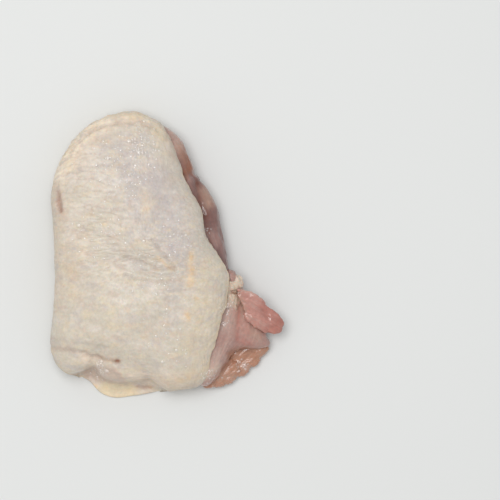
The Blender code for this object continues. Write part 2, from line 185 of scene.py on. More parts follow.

# Colour washes on the skin: the colour, the path, the width and the strength; some are painted light or
# shade, as marked
SKIN_WASHES = (
    # painted highlight: a broad paler stretch at the upper left, where the light falls
    (PALE, ((-37.0, 34.0), (-28.0, 36.0), (-24.0, 30.0)), 9.0, 0.9),
    (PEACH, ((-37.0, 36.0), (-29.0, 44.6)), 5.0, 0.85),
    (LILAC, ((-15.0, 28.0), (-6.0, 16.0)), 6.0, 0.7),
    # partly painted light: peach on the roll's slope, its own tone made lighter where the slope faces away
    # from the lamp
    (PEACH, ((-31.0, -40.5), (-27.0, -41.5)), 2.2, 0.9),
    (PEACH, ((-13.0, -46.6), (-4.0, -48.0), (2.0, -48.0)), 3.2, 1.0),
    (PEACH, ((-13.8, 46.0), (-13.8, 42.0)), 4.0, 0.35),
    # painted light: paler along the left edge, where it curves down away from the lamp
    (PALE, ((-43.4, -8.0), (-43.4, -24.0)), 3.0, 0.8),
    (TAN, ((-43.0, 20.0), (-42.5, 0.0), (-43.0, -20.0)), 4.0, 0.7),
    (ROSE_SKIN, ((-37.0, 14.0), (-34.0, 2.0), (-34.0, -8.0)), 5.0, 0.3),
    (LILAC, ((-14.0, 40.0), (-5.0, 28.0), (2.0, 17.0), (4.5, 4.0)), 8.5, 1.0),
    (LILAC, ((4.5, 4.0), (4.0, -12.0), (2.0, -25.0)), 6.5, 0.55),
    (LILAC, ((-12.0, 16.0), (-10.0, 8.0)), 6.0, 0.5),
    (GREY, ((-16.0, -1.0), (-8.0, -3.0), (0.0, -6.0)), 4.5, 0.8),
    (YELLOW, ((-44.0, 30.0), (-37.5, 42.0), (-28.0, 50.6), (-17.0, 55.0), (-8.0, 54.0)), 3.8, 1.0),
    (ROSE_SKIN, ((-31.5, 46.2), (-25.4, 49.6), (-18.4, 51.4), (-11.0, 51.6), (-4.0, 50.0)), 1.1, 0.6),
    (YELLOW, ((-4.4, 50.0), (-1.6, 44.0)), 2.2, 0.6),
    (ROSE_SKIN, ((0.6, 47.0), (3.0, 38.0)), 1.8, 0.5),
    (YELLOW, ((-44.4, 28.0), (-44.2, 25.0)), 1.6, 0.5),
    (YELLOW, ((6.0, -52.0), (12.0, -48.5), (16.0, -42.0)), 2.6, 0.5),
    (TAN, ((12.0, -47.0), (4.0, -49.5), (-6.0, -50.0)), 3.0, 0.7),
    (YELLOW, ((-28.0, -51.4), (-24.0, -52.4)), 2.0, 0.5),
    (TAN, ((18.5, -14.0), (20.0, -24.0), (16.0, -38.0)), 2.6, 0.45),
    (YELLOW, ((14.0, -12.0), (13.0, -28.0), (10.0, -40.0)), 5.0, 0.35),
    (ORANGE, ((10.2, 0.5), (9.8, -4.0)), 1.2, 0.7),
    (ORANGE, ((10.4, -6.0), (9.8, -11.0)), 1.4, 1.0),
    (ORANGE, ((8.2, -22.6), (8.8, -24.4)), 1.2, 0.9),
    (ORANGE, ((-2.5, -1.2), (2.0, -5.2)), 0.9, 0.6),
    (YELLOW, ((-8.0, 23.5), (-6.6, 18.0)), 2.2, 0.4),
    (ORANGE, ((-24.0, 11.8), (-22.8, 12.0)), 0.7, 0.7),
    (ORANGE, ((-17.6, 12.8), (-16.6, 12.6)), 0.7, 0.6),
    (ORANGE, ((11.4, -17.0), (12.4, -16.6)), 0.7, 0.6),
    (ORANGE, ((-7.8, 17.6), (-6.8, 17.4)), 0.9, 0.7),
    (ORANGE, ((-36.0, -4.0), (-35.0, -16.0)), 2.0, 0.2),
    (ORANGE, ((6.0, -48.6), (10.0, -46.6)), 1.6, 0.35),
    (ROSE_SKIN, ((-42.0, 27.2), (-41.6, 22.0), (-40.4, 16.9)), 1.8, 0.9),
    # partly painted shade: darker red-brown in the left crease, with its own reddish spot
    (RED_BROWN, ((-41.8, 24.6), (-41.4, 21.0), (-40.6, 17.0)), 0.9, 0.9),
    (ROSE_SKIN, ((-46.0, -35.4), (-33.2, -37.5), (-20.4, -41.0)), 1.2, 0.45),
    # partly painted shade: darker red-brown in the fold at the foot of the roll
    (RED_BROWN, ((-26.0, -39.8), (-22.0, -41.0)), 0.8, 0.4),
    (RED_BROWN, ((-20.2, -41.1), (-18.2, -41.3)), 0.9, 1.0),
    (RED_BROWN, ((-12.6, -51.2), (-9.6, -51.8), (-6.0, -51.6)), 0.8, 1.0),
    (PEACH, ((-24.0, 52.0), (-14.0, 53.6), (-8.0, 52.0)), 2.6, 0.6),
    # painted light: the fringe at the upper left is made lighter, as if lit from the floor beside it
    (PEACH_PAINTED_LIGHT, ((-42.0, 31.0), (-40.4, 36.0), (-35.6, 42.8), (-28.0, 49.2), (-23.0, 51.6)), 3.6, 0.9),
    (ORANGE, ((-39.6, -46.2), (-36.0, -47.6), (-31.6, -48.6), (-27.6, -51.4)), 0.9, 0.8),
)

# Patches all over the skin: the colour, the strength, the size and the seed
SKIN_MOTTLES = (
    (PALE, 0.45, 5.0, 61), (LILAC, 0.45, 3.6, 65), (YELLOW, 0.33, 2.6, 71), (ROSE_SKIN, 0.36, 2.0, 75),
    (PALE, 0.4, 1.3, 78), (GREY, 0.25, 1.1, 85),
)

# How strongly the folds, the pit, the rim, the apron and the underside are coloured: the folds get a rose
# tint and a painted shade that darkens them
FOLD_ROSE, FOLD_PAINTED_SHADE, PIT_REDNESS = 0.35, 0.16, 0.9
RIM_YELLOW, RIM_WIDTH, APRON_YELLOW, UNDERSIDE_TAN = 0.45, 1.3, 0.6, 0.5

# How wet the skin is: all over, and along paths with their width and strength
DRY_SKIN = 0.3
SKIN_WETNESS = (
    (((-10.0, 47.0), (-5.0, 40.0), (-12.0, 30.0)), 6.0, 0.8),
    (((-34.0, 32.0), (-24.0, 26.0)), 8.0, 0.2),
    (((-34.0, -46.6), (-25.0, -45.6), (-18.0, -48.4)), 2.6, 1.0),
    (((-12.0, -50.0), (0.0, -50.8)), 1.6, 0.6),
)

# Colours of the flesh; the plum, the deep red and the brown red also serve as painted shade
PINK_MAUVE = (0.510, 0.360, 0.305)
MAUVE_FLESH = (0.400, 0.242, 0.208)
PLUM_SHADE = (0.215, 0.120, 0.108)
DEEP_RED_SHADE = (0.170, 0.060, 0.040)
BROWN_RED_SHADE = (0.275, 0.108, 0.060)
ROSE = (0.475, 0.232, 0.192)
RED_ROSE = (0.400, 0.165, 0.130)
TAN_FLESH = (0.450, 0.290, 0.220)
ORANGE_FILM = (0.440, 0.225, 0.145)
CREAM_FAT = (0.640, 0.520, 0.410)

# The bare side's flesh and fat, as lumps. Outline and middle from above, the heights of the top,
# of the widest level and of the bottom, how far these last two follow the top's slope, the slope
# along X and Y, how square and, where given, how ragged the edges are, the fibres' direction in
# degrees, the depth of the fibres and of the lumps, and the ground, streak and side colours.
# The side colour, mostly darker than the ground, is painted shade low on each lump and in the hollows
# between lumps.
MUSCLES = {
    "flank_muscle": dict(
        outline=(
            (18.0, -6.0), (23.6, -5.6), (28.4, -8.6), (30.6, -13.6), (34.4, -20.4), (37.3, -26.4),
            (39.6, -31.4), (40.0, -34.6), (37.4, -36.6), (33.0, -36.8), (29.0, -37.2),
            (26.2, -39.0), (24.2, -41.8), (22.2, -44.8), (19.8, -48.2), (16.4, -50.4), (13.6, -50.8),
            (10.8, -49.7), (7.7, -45.4), (8.4, -36.9), (10.8, -27.2), (13.0, -18.4), (15.0, -11.0),
        ),
        middle=(21.5, -31.0), heights=(15.2, 6.0, 0.1), follow=0.0, slope=(-0.24, 0.03),
        square=0.72, fibres=66.0, fibre_depth=0.12, lump_depth=0.4,
        colours=(MAUVE_FLESH, PINK_MAUVE, MAUVE_FLESH),
    ),
    "pale_piece": dict(
        outline=(
            (6.0, 31.4), (8.4, 31.2), (10.3, 29.2), (11.8, 26.2), (12.7, 22.5), (13.0, 19.0),
            (12.6, 16.2), (9.5, 15.0), (6.0, 20.5), (3.6, 26.5),
        ),
        middle=(8.6, 23.2), heights=(15.6, 12.4, 7.0), follow=0.5, slope=(-0.16, 0.06),
        square=0.8, ragged=2.0, fibres=118.0, fibre_depth=0.2, lump_depth=0.7,
        colours=(TAN_FLESH, TAN_FLESH, BROWN_RED_SHADE),
    ),
    "loose_flap": dict(
        outline=(
            (27.6, -12.8), (30.1, -13.0), (32.8, -14.1), (35.5, -15.9), (38.0, -18.2),
            (40.7, -20.6), (43.6, -23.0), (45.6, -25.6), (45.0, -28.9), (42.5, -30.9),
            (39.8, -30.7), (37.1, -29.5), (34.3, -27.9), (31.8, -25.2), (30.1, -21.7),
            (29.0, -18.2), (27.6, -15.1),
        ),
        middle=(36.4, -21.6), heights=(13.2, 11.6, 9.2), follow=1.0, slope=(-0.2, 0.16),
        square=0.46, ragged=1.4, fibres=-42.0, fibre_depth=0.07, lump_depth=1.0,
        colours=(ROSE, PINK_MAUVE, RED_ROSE),
    ),
    "low_edge_right": dict(
        outline=(
            (21.6, -41.5), (24.6, -36.0), (30.0, -33.8), (35.4, -33.8), (39.4, -34.4),
            (39.8, -37.2), (37.6, -40.2), (35.3, -42.9), (32.6, -44.8), (30.9, -46.9),
            (27.7, -47.6), (24.4, -46.2),
        ),
        middle=(30.4, -40.0), heights=(5.6, 2.0, 0.1), follow=0.0, slope=(-0.05, 0.2),
        square=0.62, ragged=1.6, fibres=38.0, fibre_depth=0.2, lump_depth=0.9,
        colours=(ORANGE_FILM, TAN_FLESH, ORANGE_FILM),
    ),
    "low_edge_left": dict(
        outline=(
            (12.8, -46.8), (16.6, -42.2), (20.8, -40.2), (25.4, -39.8), (28.6, -42.6),
            (29.1, -46.0), (26.8, -49.2), (23.5, -51.0), (19.6, -51.9), (15.1, -51.4),
        ),
        middle=(21.2, -46.0), heights=(6.6, 2.4, 0.1), follow=0.0, slope=(-0.12, 0.24),
        square=0.62, ragged=1.6, fibres=26.0, fibre_depth=0.2, lump_depth=0.9,
        colours=(ORANGE_FILM, PINK_MAUVE, TAN_FLESH),
    ),
    "corner_flesh": dict(
        outline=(
            (10.4, -45.8), (14.0, -43.0), (18.0, -41.4), (20.8, -42.0), (21.6, -44.8),
            (19.4, -48.0), (15.6, -49.8), (11.6, -49.4),
        ),
        middle=(16.2, -45.6), heights=(11.6, 8.2, 5.0), follow=0.6, slope=(-0.3, 0.25),
        square=0.75, fibres=30.0, fibre_depth=0.2, lump_depth=0.55,
        colours=(PINK_MAUVE, CREAM_FAT, MAUVE_FLESH),
    ),
}
FAT_LUMPS = {
    "corner_fat_top": dict(
        outline=(
            (22.6, -5.4), (25.2, -5.8), (27.2, -7.4), (27.6, -9.6), (26.4, -11.2),
            (24.0, -10.8), (22.0, -9.0),
        ),
        middle=(24.8, -8.2), heights=(15.4, 12.4, 7.0), follow=0.5, slope=(-0.2, 0.0),
        square=0.8, ragged=1.6, fibres=120.0, fibre_depth=0.2, lump_depth=0.9,
        colours=(MAUVE_FLESH, PINK_MAUVE, PLUM_SHADE),
    ),
    "corner_fat_upper": dict(
        outline=(
            (24.8, -8.6), (26.6, -7.6), (28.6, -8.4), (30.0, -10.6), (29.2, -13.0),
            (26.8, -14.6), (22.6, -15.0), (21.4, -12.6), (22.8, -10.4),
        ),
        middle=(26.2, -11.6), heights=(15.0, 11.4, 6.0), follow=0.5, slope=(-0.25, 0.0),
        square=0.84, ragged=1.6, fibres=120.0, fibre_depth=0.2, lump_depth=1.1,
        colours=(CREAM_FAT, CREAM_FAT, TAN_FLESH),
    ),
    "corner_fat_lower": dict(
        outline=(
            (21.0, -12.4), (24.0, -12.2), (27.4, -13.2), (29.2, -15.4), (29.0, -18.6),
            (28.4, -21.2), (26.0, -21.8), (22.4, -20.6), (20.0, -16.6),
        ),
        middle=(24.8, -17.4), heights=(15.5, 12.0, 6.0), follow=0.5, slope=(-0.22, 0.0),
        square=0.84, ragged=1.6, fibres=100.0, fibre_depth=0.2, lump_depth=1.1,
        colours=(CREAM_FAT, CREAM_FAT, TAN_FLESH),
    ),
}

# The long muscle above the corner: its middle, half width and half height at stations along it
LONG_MUSCLE = (
    (-2.6, 49.6, 8.0, 3.6, 5.4), (1.2, 43.6, 8.0, 5.4, 7.4), (3.8, 37.0, 8.0, 5.8, 7.6),
    (6.0, 30.0, 8.0, 6.2, 7.6), (8.8, 23.4, 7.8, 7.4, 7.4), (12.0, 15.0, 7.4, 8.6, 7.4),
    (15.4, 6.0, 7.2, 7.8, 7.8), (19.2, -3.0, 7.2, 6.4, 8.0), (23.0, -10.0, 7.6, 5.0, 7.6),
)
# The long muscle's finish: its plum ground and its deep red low sides are painted shade
LONG_MUSCLE_FINISH = dict(
    fibre_depth=0.18, lump_depth=0.5, colours=(PLUM_SHADE, MAUVE_FLESH, DEEP_RED_SHADE), heights=(16.0, 8.0, 0.0)
)

# Furrows in the flesh: the path, how deep and how wide
FURROWS = (
    (((5.0, 28.6), (9.0, 31.0), (14.0, 33.0)), 0.8, 1.3),
    (((12.8, 28.0), (13.8, 22.0), (14.6, 15.6)), 1.1, 1.4),
    (((18.0, 12.0), (21.0, 2.0), (24.0, -5.0)), 0.5, 1.4),
    (((29.0, -20.0), (28.4, -27.0), (27.6, -33.0), (24.6, -40.0)), 0.4, 1.3),
    (((26.4, -35.0), (30.0, -33.2), (36.0, -30.0)), 0.3, 1.6),
    (((16.0, -44.6), (20.0, -40.0), (23.0, -34.0)), 0.35, 1.2),
    (((22.0, -46.6), (25.0, -43.2), (27.6, -40.6)), 0.5, 1.0),
    (((26.0, -45.6), (30.0, -42.0), (34.0, -38.4)), 0.5, 0.9),
    (((25.2, -14.2), (28.6, -14.8)), 0.4, 0.6),
    (((38.4, -22.0), (40.4, -26.0), (39.8, -29.6)), 0.4, 1.0),
)

# Colour washes on the flesh, as on the skin; several are painted shade in clefts, creases and under the
# skin's edge, as marked
FLESH_WASHES = (
    (PINK_MAUVE, ((0.0, 51.0), (4.0, 46.0), (5.6, 42.0)), 2.6, 0.9),
    (TAN_FLESH, ((5.6, 42.0), (7.0, 38.0)), 2.4, 0.7),
    # painted shade: the strip's lower side under the skin's overhang
    (BROWN_RED_SHADE, ((8.4, 40.0), (9.0, 34.0), (6.4, 30.0)), 2.6, 0.9),
    # painted shade: the dark cleft between the pale piece and the long muscle
    (DEEP_RED_SHADE, ((12.8, 28.0), (13.8, 22.0), (14.8, 15.6)), 2.2, 1.0),
    # painted shade beside the skin's edge
    (BROWN_RED_SHADE, ((6.6, 44.6), (10.0, 38.0), (9.6, 33.0)), 1.5, 0.9),
    # painted shade: dark plum where the neighbouring meat shaded this muscle
    (PLUM_SHADE, ((17.2, 10.0), (18.4, 3.0), (20.4, -1.6), (23.4, -7.0)), 2.4, 0.95),
    (TAN_FLESH, ((15.4, 25.4), (17.0, 20.0)), 2.0, 0.8),
    # painted shadow along the skin's edge
    (DEEP_RED_SHADE, ((15.2, 14.0), (17.4, 4.0), (21.0, -4.0)), 1.3, 0.7),
    (MAUVE_FLESH, ((18.6, 8.0), (19.8, 4.6)), 1.8, 0.7),
    # painted shadow under the skin's edge at the corner
    (DEEP_RED_SHADE, ((22.4, -3.6), (23.6, -6.6)), 1.3, 0.8),
    # painted shade in the cleft between the lumps of fat
    (BROWN_RED_SHADE, ((25.6, -14.2), (28.6, -14.9)), 0.6, 0.9),
    (PINK_MAUVE, ((24.6, -21.0), (23.0, -28.0)), 2.8, 1.0),
    (ROSE, ((27.0, -21.0), (28.0, -24.0)), 1.6, 0.5),
    (MAUVE_FLESH, ((22.4, -31.0), (21.0, -35.0)), 2.4, 0.8),
    (PINK_MAUVE, ((20.0, -39.0), (16.0, -45.0)), 3.0, 0.8),
    (TAN_FLESH, ((28.4, -21.0), (29.4, -27.0)), 2.2, 0.6),
    (TAN_FLESH, ((32.6, -29.4), (35.0, -31.0)), 2.6, 0.7),
    # painted shade: darker red along the crease between the main and side muscles
    (RED_ROSE, ((29.0, -19.0), (28.4, -27.0), (27.8, -33.6)), 0.8, 0.85),
    (ROSE, ((30.4, -26.6), (31.6, -30.0)), 2.0, 0.7),
    # painted shade in the crease above the orange low edge
    (RED_ROSE, ((30.0, -33.6), (33.0, -34.6)), 1.6, 0.6),
    (MAUVE_FLESH, ((24.6, -6.4), (26.4, -8.6)), 1.2, 0.7),
    # painted shade in the furrow at the low edges
    (BROWN_RED_SHADE, ((22.2, -44.0), (26.0, -41.4)), 0.8, 0.6),
    # partly painted highlight: cream where the corner flesh shows white glints, with its own pale film
    (CREAM_FAT, ((15.0, -47.4), (18.4, -45.0), (20.4, -43.6)), 1.6, 0.65),
    (CREAM_FAT, ((27.0, -17.6), (27.6, -19.0)), 1.2, 0.8),
    # painted shade in the crease above the orange low edge
    (BROWN_RED_SHADE, ((25.0, -38.6), (27.5, -37.4), (31.5, -37.2)), 1.4, 0.9),
    (ORANGE_FILM, ((22.0, -48.6), (28.6, -42.0)), 2.4, 0.7),
    (ORANGE_FILM, ((27.0, -40.0), (36.0, -39.4)), 2.4, 0.8),
    # painted highlight: paler where the low edge glints
    (PINK_MAUVE, ((30.2, -43.4), (31.4, -44.4)), 1.6, 0.5),
    (TAN_FLESH, ((20.0, -47.6), (26.0, -47.6)), 2.0, 0.5),
    # painted shade in the furrow between the low edges
    (BROWN_RED_SHADE, ((21.6, -45.4), (24.6, -43.2)), 0.9, 0.6),
    (RED_ROSE, ((38.6, -21.0), (43.0, -26.0), (42.0, -29.0)), 2.6, 0.95),
    (RED_ROSE, ((44.0, -24.0), (44.8, -27.0)), 1.6, 0.7),
    (PINK_MAUVE, ((29.6, -13.2), (34.0, -15.0)), 0.9, 0.7),
    (TAN_FLESH, ((28.6, -16.0), (30.0, -21.0)), 1.4, 0.5),
)

FLESH_WASH_NOISE = (0.85, 0.3, 2.5, 400)
STREAK_STRENGTH, FILM_STRENGTH, GRAIN_STRENGTH, GRAIN_LENGTH = 0.5, 0.18, 0.05, 0.9
# Noise in the flesh: its length along and across the fibres, and what it adds to the seed
FIBRE_NOISE, LUMP_NOISE, GRAIN_NOISE = (9.0, 1.3, 3), (6.0, 3.6, 6), (1.6, 1.3, 12)
FILM_NOISE = (5.0, 1.8, 9)
GRAIN_HEIGHT = 0.07
FIBRE_MAP_LENGTH = 10.0
FIBRE_SWAY, FIBRE_SWAY_LENGTH = 0.8, 9.0
HEIGHT_ACROSS = 0.8
END_BLUNTNESS, END_STEP = 0.45, 0.01
# Seeds: each muscle's and each lump of fat's is a step on from the one before
STRAND_SEED, MUSCLE_SEED, FAT_SEED, SEED_STEP = 200, 220, 500, 20
# Waves around a lump's outline: how many, how high and how far its top's height shifts them
OUTLINE_WAVES = ((7, 1.0, 1), (13, 0.75, 2), (23, 0.6, 0))
OUTLINE_WAVE_HEIGHT = 0.016

# The meat under the skin
CORE_COLUMNS, CORE_ROWS = 260, 160
CORE_TURN_IN, CORE_TURN_SHARE = 2.5, 0.5
CORE_INSET = SKIN_THICKNESS + 0.9
CORE_COLOURS = ((0.380, 0.170, 0.135), (0.500, 0.290, 0.230), (0.280, 0.100, 0.080))

# Beads of moisture: single ones, and clusters with their spread and number
BEADS = (
    (-13.0, -13.6), (4.9, -36.9), (-31.2, -2.7), (-8.0, 4.6), (-34.0, 11.4), (-15.3, 3.9),
    (24.2, -20.8), (23.6, -27.2), (29.0, -43.8), (30.0, -42.6), (-26.6, -44.2), (-23.0, -45.6),
)
BEAD_CLUSTERS = (
    ((-9.0, 43.6), 8.0, 90), ((-22.0, 38.0), 9.0, 40), ((-12.0, 28.0), 9.0, 44),
    ((-26.0, 10.0), 12.0, 36), ((-4.0, -6.0), 10.0, 30), ((6.0, 8.0), 9.0, 26),
    ((-26.6, -44.4), 3.6, 80), ((24.2, -21.0), 2.2, 22), ((23.6, -27.2), 1.6, 10),
    ((29.6, -43.2), 2.4, 26), ((17.4, -46.2), 4.0, 36), ((0.0, -34.0), 14.0, 30), ((17.5, 9.0), 3.0, 6),
)
BEAD_REACH, UPWARD = 0.7, 0.3
BEAD_SIDES = 8
BEAD_RINGS = (0.35, 0.75, 1.2, math.pi / 2)
BEAD_FLATNESS, BEAD_SINK = 0.4, 0.04
BEAD_TOP, BEAD_BOTTOM = 0.37, -0.3
SINGLE_BEAD_SIZE, BEAD_SIZE_SPREAD = 1.8, 0.3
# How far the beads' tint is lightened towards white: painted light on their steep sides
BEAD_PAINTED_LIGHT = 0.2
BEAD_PLACE_SEED, BEAD_SIZE_SEED = 7, 9

# The stage, in metres
FLOOR_HALF_WIDTH, FLOOR_BELOW = 3.0, 0.0001
LIGHT_SIZE = 0.55
LIGHT_AT, LIGHT_AIM = (-0.14, 0.14, 1.05), (0, 0, 0.02)
SENSOR_MM = 36.0


# Curves and noise


def smooth_through(knots, values, at):
    """Cubic curve through values at the knots, its slope at each taken from the knots beside it."""
    slopes = np.gradient(values, knots)
    left = np.clip(np.searchsorted(knots, at) - 1, 0, len(knots) - 2)
    width = knots[left + 1] - knots[left]
    t = (at - knots[left]) / width
    rise = 3 * t**2 - 2 * t**3
    return (
        values[left] * (1 - rise)
        + values[left + 1] * rise
        + slopes[left] * width * (t**3 - 2 * t**2 + t)
        + slopes[left + 1] * width * (t**3 - t**2)
    )


def smooth_step(low, high, at):
    """0 below low, 1 above high, and an S curve between."""
    t = np.clip((at - low) / (high - low), 0.0, 1.0)
    return t * t * (3 - 2 * t)


def radius_around(outline, middle, angle):
    """Distance from the middle to a smooth closed curve through the outline, in each direction."""
    offsets = np.array(outline) - middle
    knots = np.arctan2(offsets[:, 1], offsets[:, 0])
    order = np.argsort(knots)
    knots, radii = knots[order], np.hypot(offsets[:, 0], offsets[:, 1])[order]
    knots = np.concatenate([knots - TURN, knots, knots + TURN])
    return smooth_through(knots, np.tile(radii, 3), np.mod(angle + math.pi, TURN) - math.pi)


def path_distance(x, y, path):
    """Distance from each point to the nearest stretch of a path of straight runs, seen from above."""
    nearest = np.full(np.shape(x), np.inf)
    for (ax, ay), (bx, by) in zip(path, path[1:]):
        run = np.array((bx - ax, by - ay))
        along = np.clip(((x - ax) * run[0] + (y - ay) * run[1]) / (run @ run), 0.0, 1.0)
        nearest = np.minimum(nearest, np.hypot(x - ax - along * run[0], y - ay - along * run[1]))
    return nearest


def near_path(x, y, path, width):
    """1 on the path, falling off beside it as a bell curve of the given width."""
    return np.exp(-((path_distance(x, y, path) / width) ** 2))


def inside(x, y, outline):
    """True inside a closed outline of straight runs: an odd number of its runs lie to the right."""
    odd = np.zeros(np.shape(x), bool)
    for (ax, ay), (bx, by) in zip(outline, outline[1:] + outline[:1]):
        crosses = (ay > y) != (by > y)
        rise = (by - ay) if by != ay else 1.0
        odd ^= crosses & (x < ax + (y - ay) * (bx - ax) / rise)
    return odd


def depth_inside(x, y, outline):
    """Distance to a closed outline: above 0 inside it and below 0 outside."""
    distance = path_distance(x, y, outline + outline[:1])
    return np.where(inside(x, y, outline), distance, -distance)


def noise(x, y, seed):
    """Smooth random heights from -1 to 1: a random number at each whole corner, S curves between."""
    table = np.random.default_rng(seed).uniform(-1.0, 1.0, (NOISE_SIZE, NOISE_SIZE))
    column, row = np.floor(x).astype(int), np.floor(y).astype(int)
    u, v = smooth_step(0, 1, x - column), smooth_step(0, 1, y - row)
    column, row = column % NOISE_SIZE, row % NOISE_SIZE
    next_column, next_row = (column + 1) % NOISE_SIZE, (row + 1) % NOISE_SIZE
    low = table[column, row] * (1 - u) + table[next_column, row] * u
    high = table[column, next_row] * (1 - u) + table[next_column, next_row] * u
    return low * (1 - v) + high * v


def cloudy(x, y, seed):
    """Three layers of noise, each half as long and high as the one before, and turned another way."""
    second = noise(1.6 * x - 1.2 * y, 1.2 * x + 1.6 * y, seed + 1)
    third = noise(1.12 * x - 3.84 * y, 3.84 * x + 1.12 * y, seed + 2)
    return (noise(0.8 * x + 0.6 * y, 0.8 * y - 0.6 * x, seed) + second / 2 + third / 4) / 1.75


def uneven(x, y, middle, swing, length, seed):
    """A value that swings about its middle with noise of a length."""
    return middle + swing * cloudy(x / length, y / length, seed)


def wrinkles(x, y, seed):
    """Narrow valleys, 1 along the lines where a noise passes through 0 and falling off beside them."""
    return np.clip(1 - 4 * np.abs(cloudy(x, y, seed)), 0, 1) ** 2


def pimples(x, y, seed):
    """Round bumps, one in each square, each at a place and with a height drawn by chance."""
    table = np.random.default_rng(seed).uniform(0.2, 0.8, (NOISE_SIZE, NOISE_SIZE, 3))
    column, row = np.floor(x).astype(int), np.floor(y).astype(int)
    height = np.zeros(np.shape(x))
    for right in (-1, 0, 1):
        for up in (-1, 0, 1):
            spot = table[(column + right) % NOISE_SIZE, (row + up) % NOISE_SIZE]
            away = np.hypot(column + right + spot[..., 0] - x, row + up + spot[..., 1] - y)
            height = np.maximum(height, spot[..., 2] * (1 - smooth_step(0.1, 0.5, away)))
    return height


# The skin's sections


def smoothed_radius(radius, angle):
    """The mean of a radius over the directions beside each, within the smoothing spread."""
    offsets = np.linspace(-SMOOTHING_SPREAD, SMOOTHING_SPREAD, SMOOTHING_STEPS)
    return sum(radius(angle + offset) for offset in offsets) / SMOOTHING_STEPS


def stretch_share(angle, start, end, blend):
    """1 in the directions from start to end, falling to 0 over the blend inside both."""
    angle = np.mod(angle + math.pi, TURN) - math.pi
    return smooth_step(start, start + blend, angle) * (1 - smooth_step(end - blend, end, angle))


def free_share(angle):
    """1 where the skin ends on top of the bare meat, 0 where it hangs down."""
    return stretch_share(angle, FREE_FROM, FREE_TO, FREE_BLEND)


def splay_share(angle):
    """1 where the skin splays out over the surface that it lies on, 0 where it turns in."""
    return stretch_share(angle, SPLAY_FROM, SPLAY_TO, SPLAY_BLEND)


def short_run_share(angle):
    """1 where the skin ends right below its side, between turning in and splaying out, 0 elsewhere."""
    run = (TUCK + SPLAY_RUN) * splay_share(angle) - TUCK
    return np.exp(-((run / SHORT_RUN) ** 2))


def waist_radius(angle):
    """Distance from the crown to where the side stands upright, so that the rim meets the outline."""
    free, splay = free_share(angle), splay_share(angle)
    outline = radius_around(SKIN_OUTLINE, CROWN, angle)
    splayed = np.maximum(0, (TURN_IN + SPLAY_OUT) * splay - TURN_IN)
    splayed = splayed + np.maximum(0, (TUCK + SPLAY_RUN) * splay - TUCK)
    hanging = outline - splayed
    return hanging + (outline / math.sin(FREE_EDGE_TURN) ** (2 / DOME_POWER) - hanging) * free


def relief(x, y):
    """How far the top surface stands above the plain dome: slow swells, less the broad dips."""
    across = TURN * x / SWELL_LENGTH_ACROSS + SWELL_PHASE_ACROSS
    along = TURN * y / SWELL_LENGTH_ALONG + SWELL_PHASE_ALONG
    height = SWELL_HEIGHT * np.sin(across + SWELL_BEND * np.sin(along)) * np.cos(along)
    for path, depth, width in DIPS:
        height = height - depth * near_path(x, y, path, width)
    return height


def with_relief(angle, radius, height):
    """Points at a radius and a height in each direction from the crown, with the relief on top."""
    x = CROWN[0] + radius * np.cos(angle)
    y = CROWN[1] + radius * np.sin(angle)
    on_top = smooth_step(WAIST_HEIGHT, WAIST_HEIGHT + RELIEF_FADE, height)
    return np.stack([x, y, height + on_top * relief(x, y)], axis=-1)


def dome_reach(angle, waist, turn):
    """The waist's radius, nearer to the smoothed one the closer the turn is to the crown."""
    share = smooth_step(0.0, 1.0, turn / (math.pi / 2)) ** SMOOTHING_POWER
    rounded = smoothed_radius(waist_radius, angle)
    return rounded + (waist - rounded) * share


def skin_sections(angle):
    """The skin's outer face cut upright in each direction: radii and heights from crown to rim.

    The dome is a superellipse quarter down to the waist. Below it an ellipse quarter turns in, or
    out where the skin splays, and a level run lies on the surface below.
    """
    angle = angle[:, None]
    free, splay, waist = free_share(angle), splay_share(angle), waist_radius(angle)
    squareness = 2 / DOME_POWER
    turn = np.linspace(0, math.pi / 2, SECTION_STEPS)[None, :]
    dome_radius = dome_reach(angle, waist, turn) * np.sin(turn) ** squareness
    dome_height = WAIST_HEIGHT + (CROWN_HEIGHT - WAIST_HEIGHT) * np.cos(turn).clip(0) ** squareness
    turn_in = TURN_IN - (TURN_IN + SPLAY_OUT) * splay
    lowest = SKIN_THICKNESS * smooth_step(0.75, 1.0, splay)
    lowest = lowest * (1 - SHORT_RUN_THINNING * short_run_share(angle))
    side_radius = waist - turn_in * (1 - np.cos(turn))
    side_height = WAIST_HEIGHT - (WAIST_HEIGHT - lowest) * np.sin(turn)
    run = (-TUCK + (TUCK + SPLAY_RUN) * splay) * np.linspace(0, 1, RUN_STEPS)[1:]
    run_radius = waist - turn_in + run
    radii = np.concatenate([dome_radius, side_radius[:, 1:], run_radius], axis=1)
    dome_height = np.broadcast_to(dome_height, dome_radius.shape)
    run_height = np.broadcast_to(lowest, run_radius.shape)
    heights = np.concatenate([dome_height, side_height[:, 1:], run_height], axis=1)
    return radii, heights, free[:, 0]


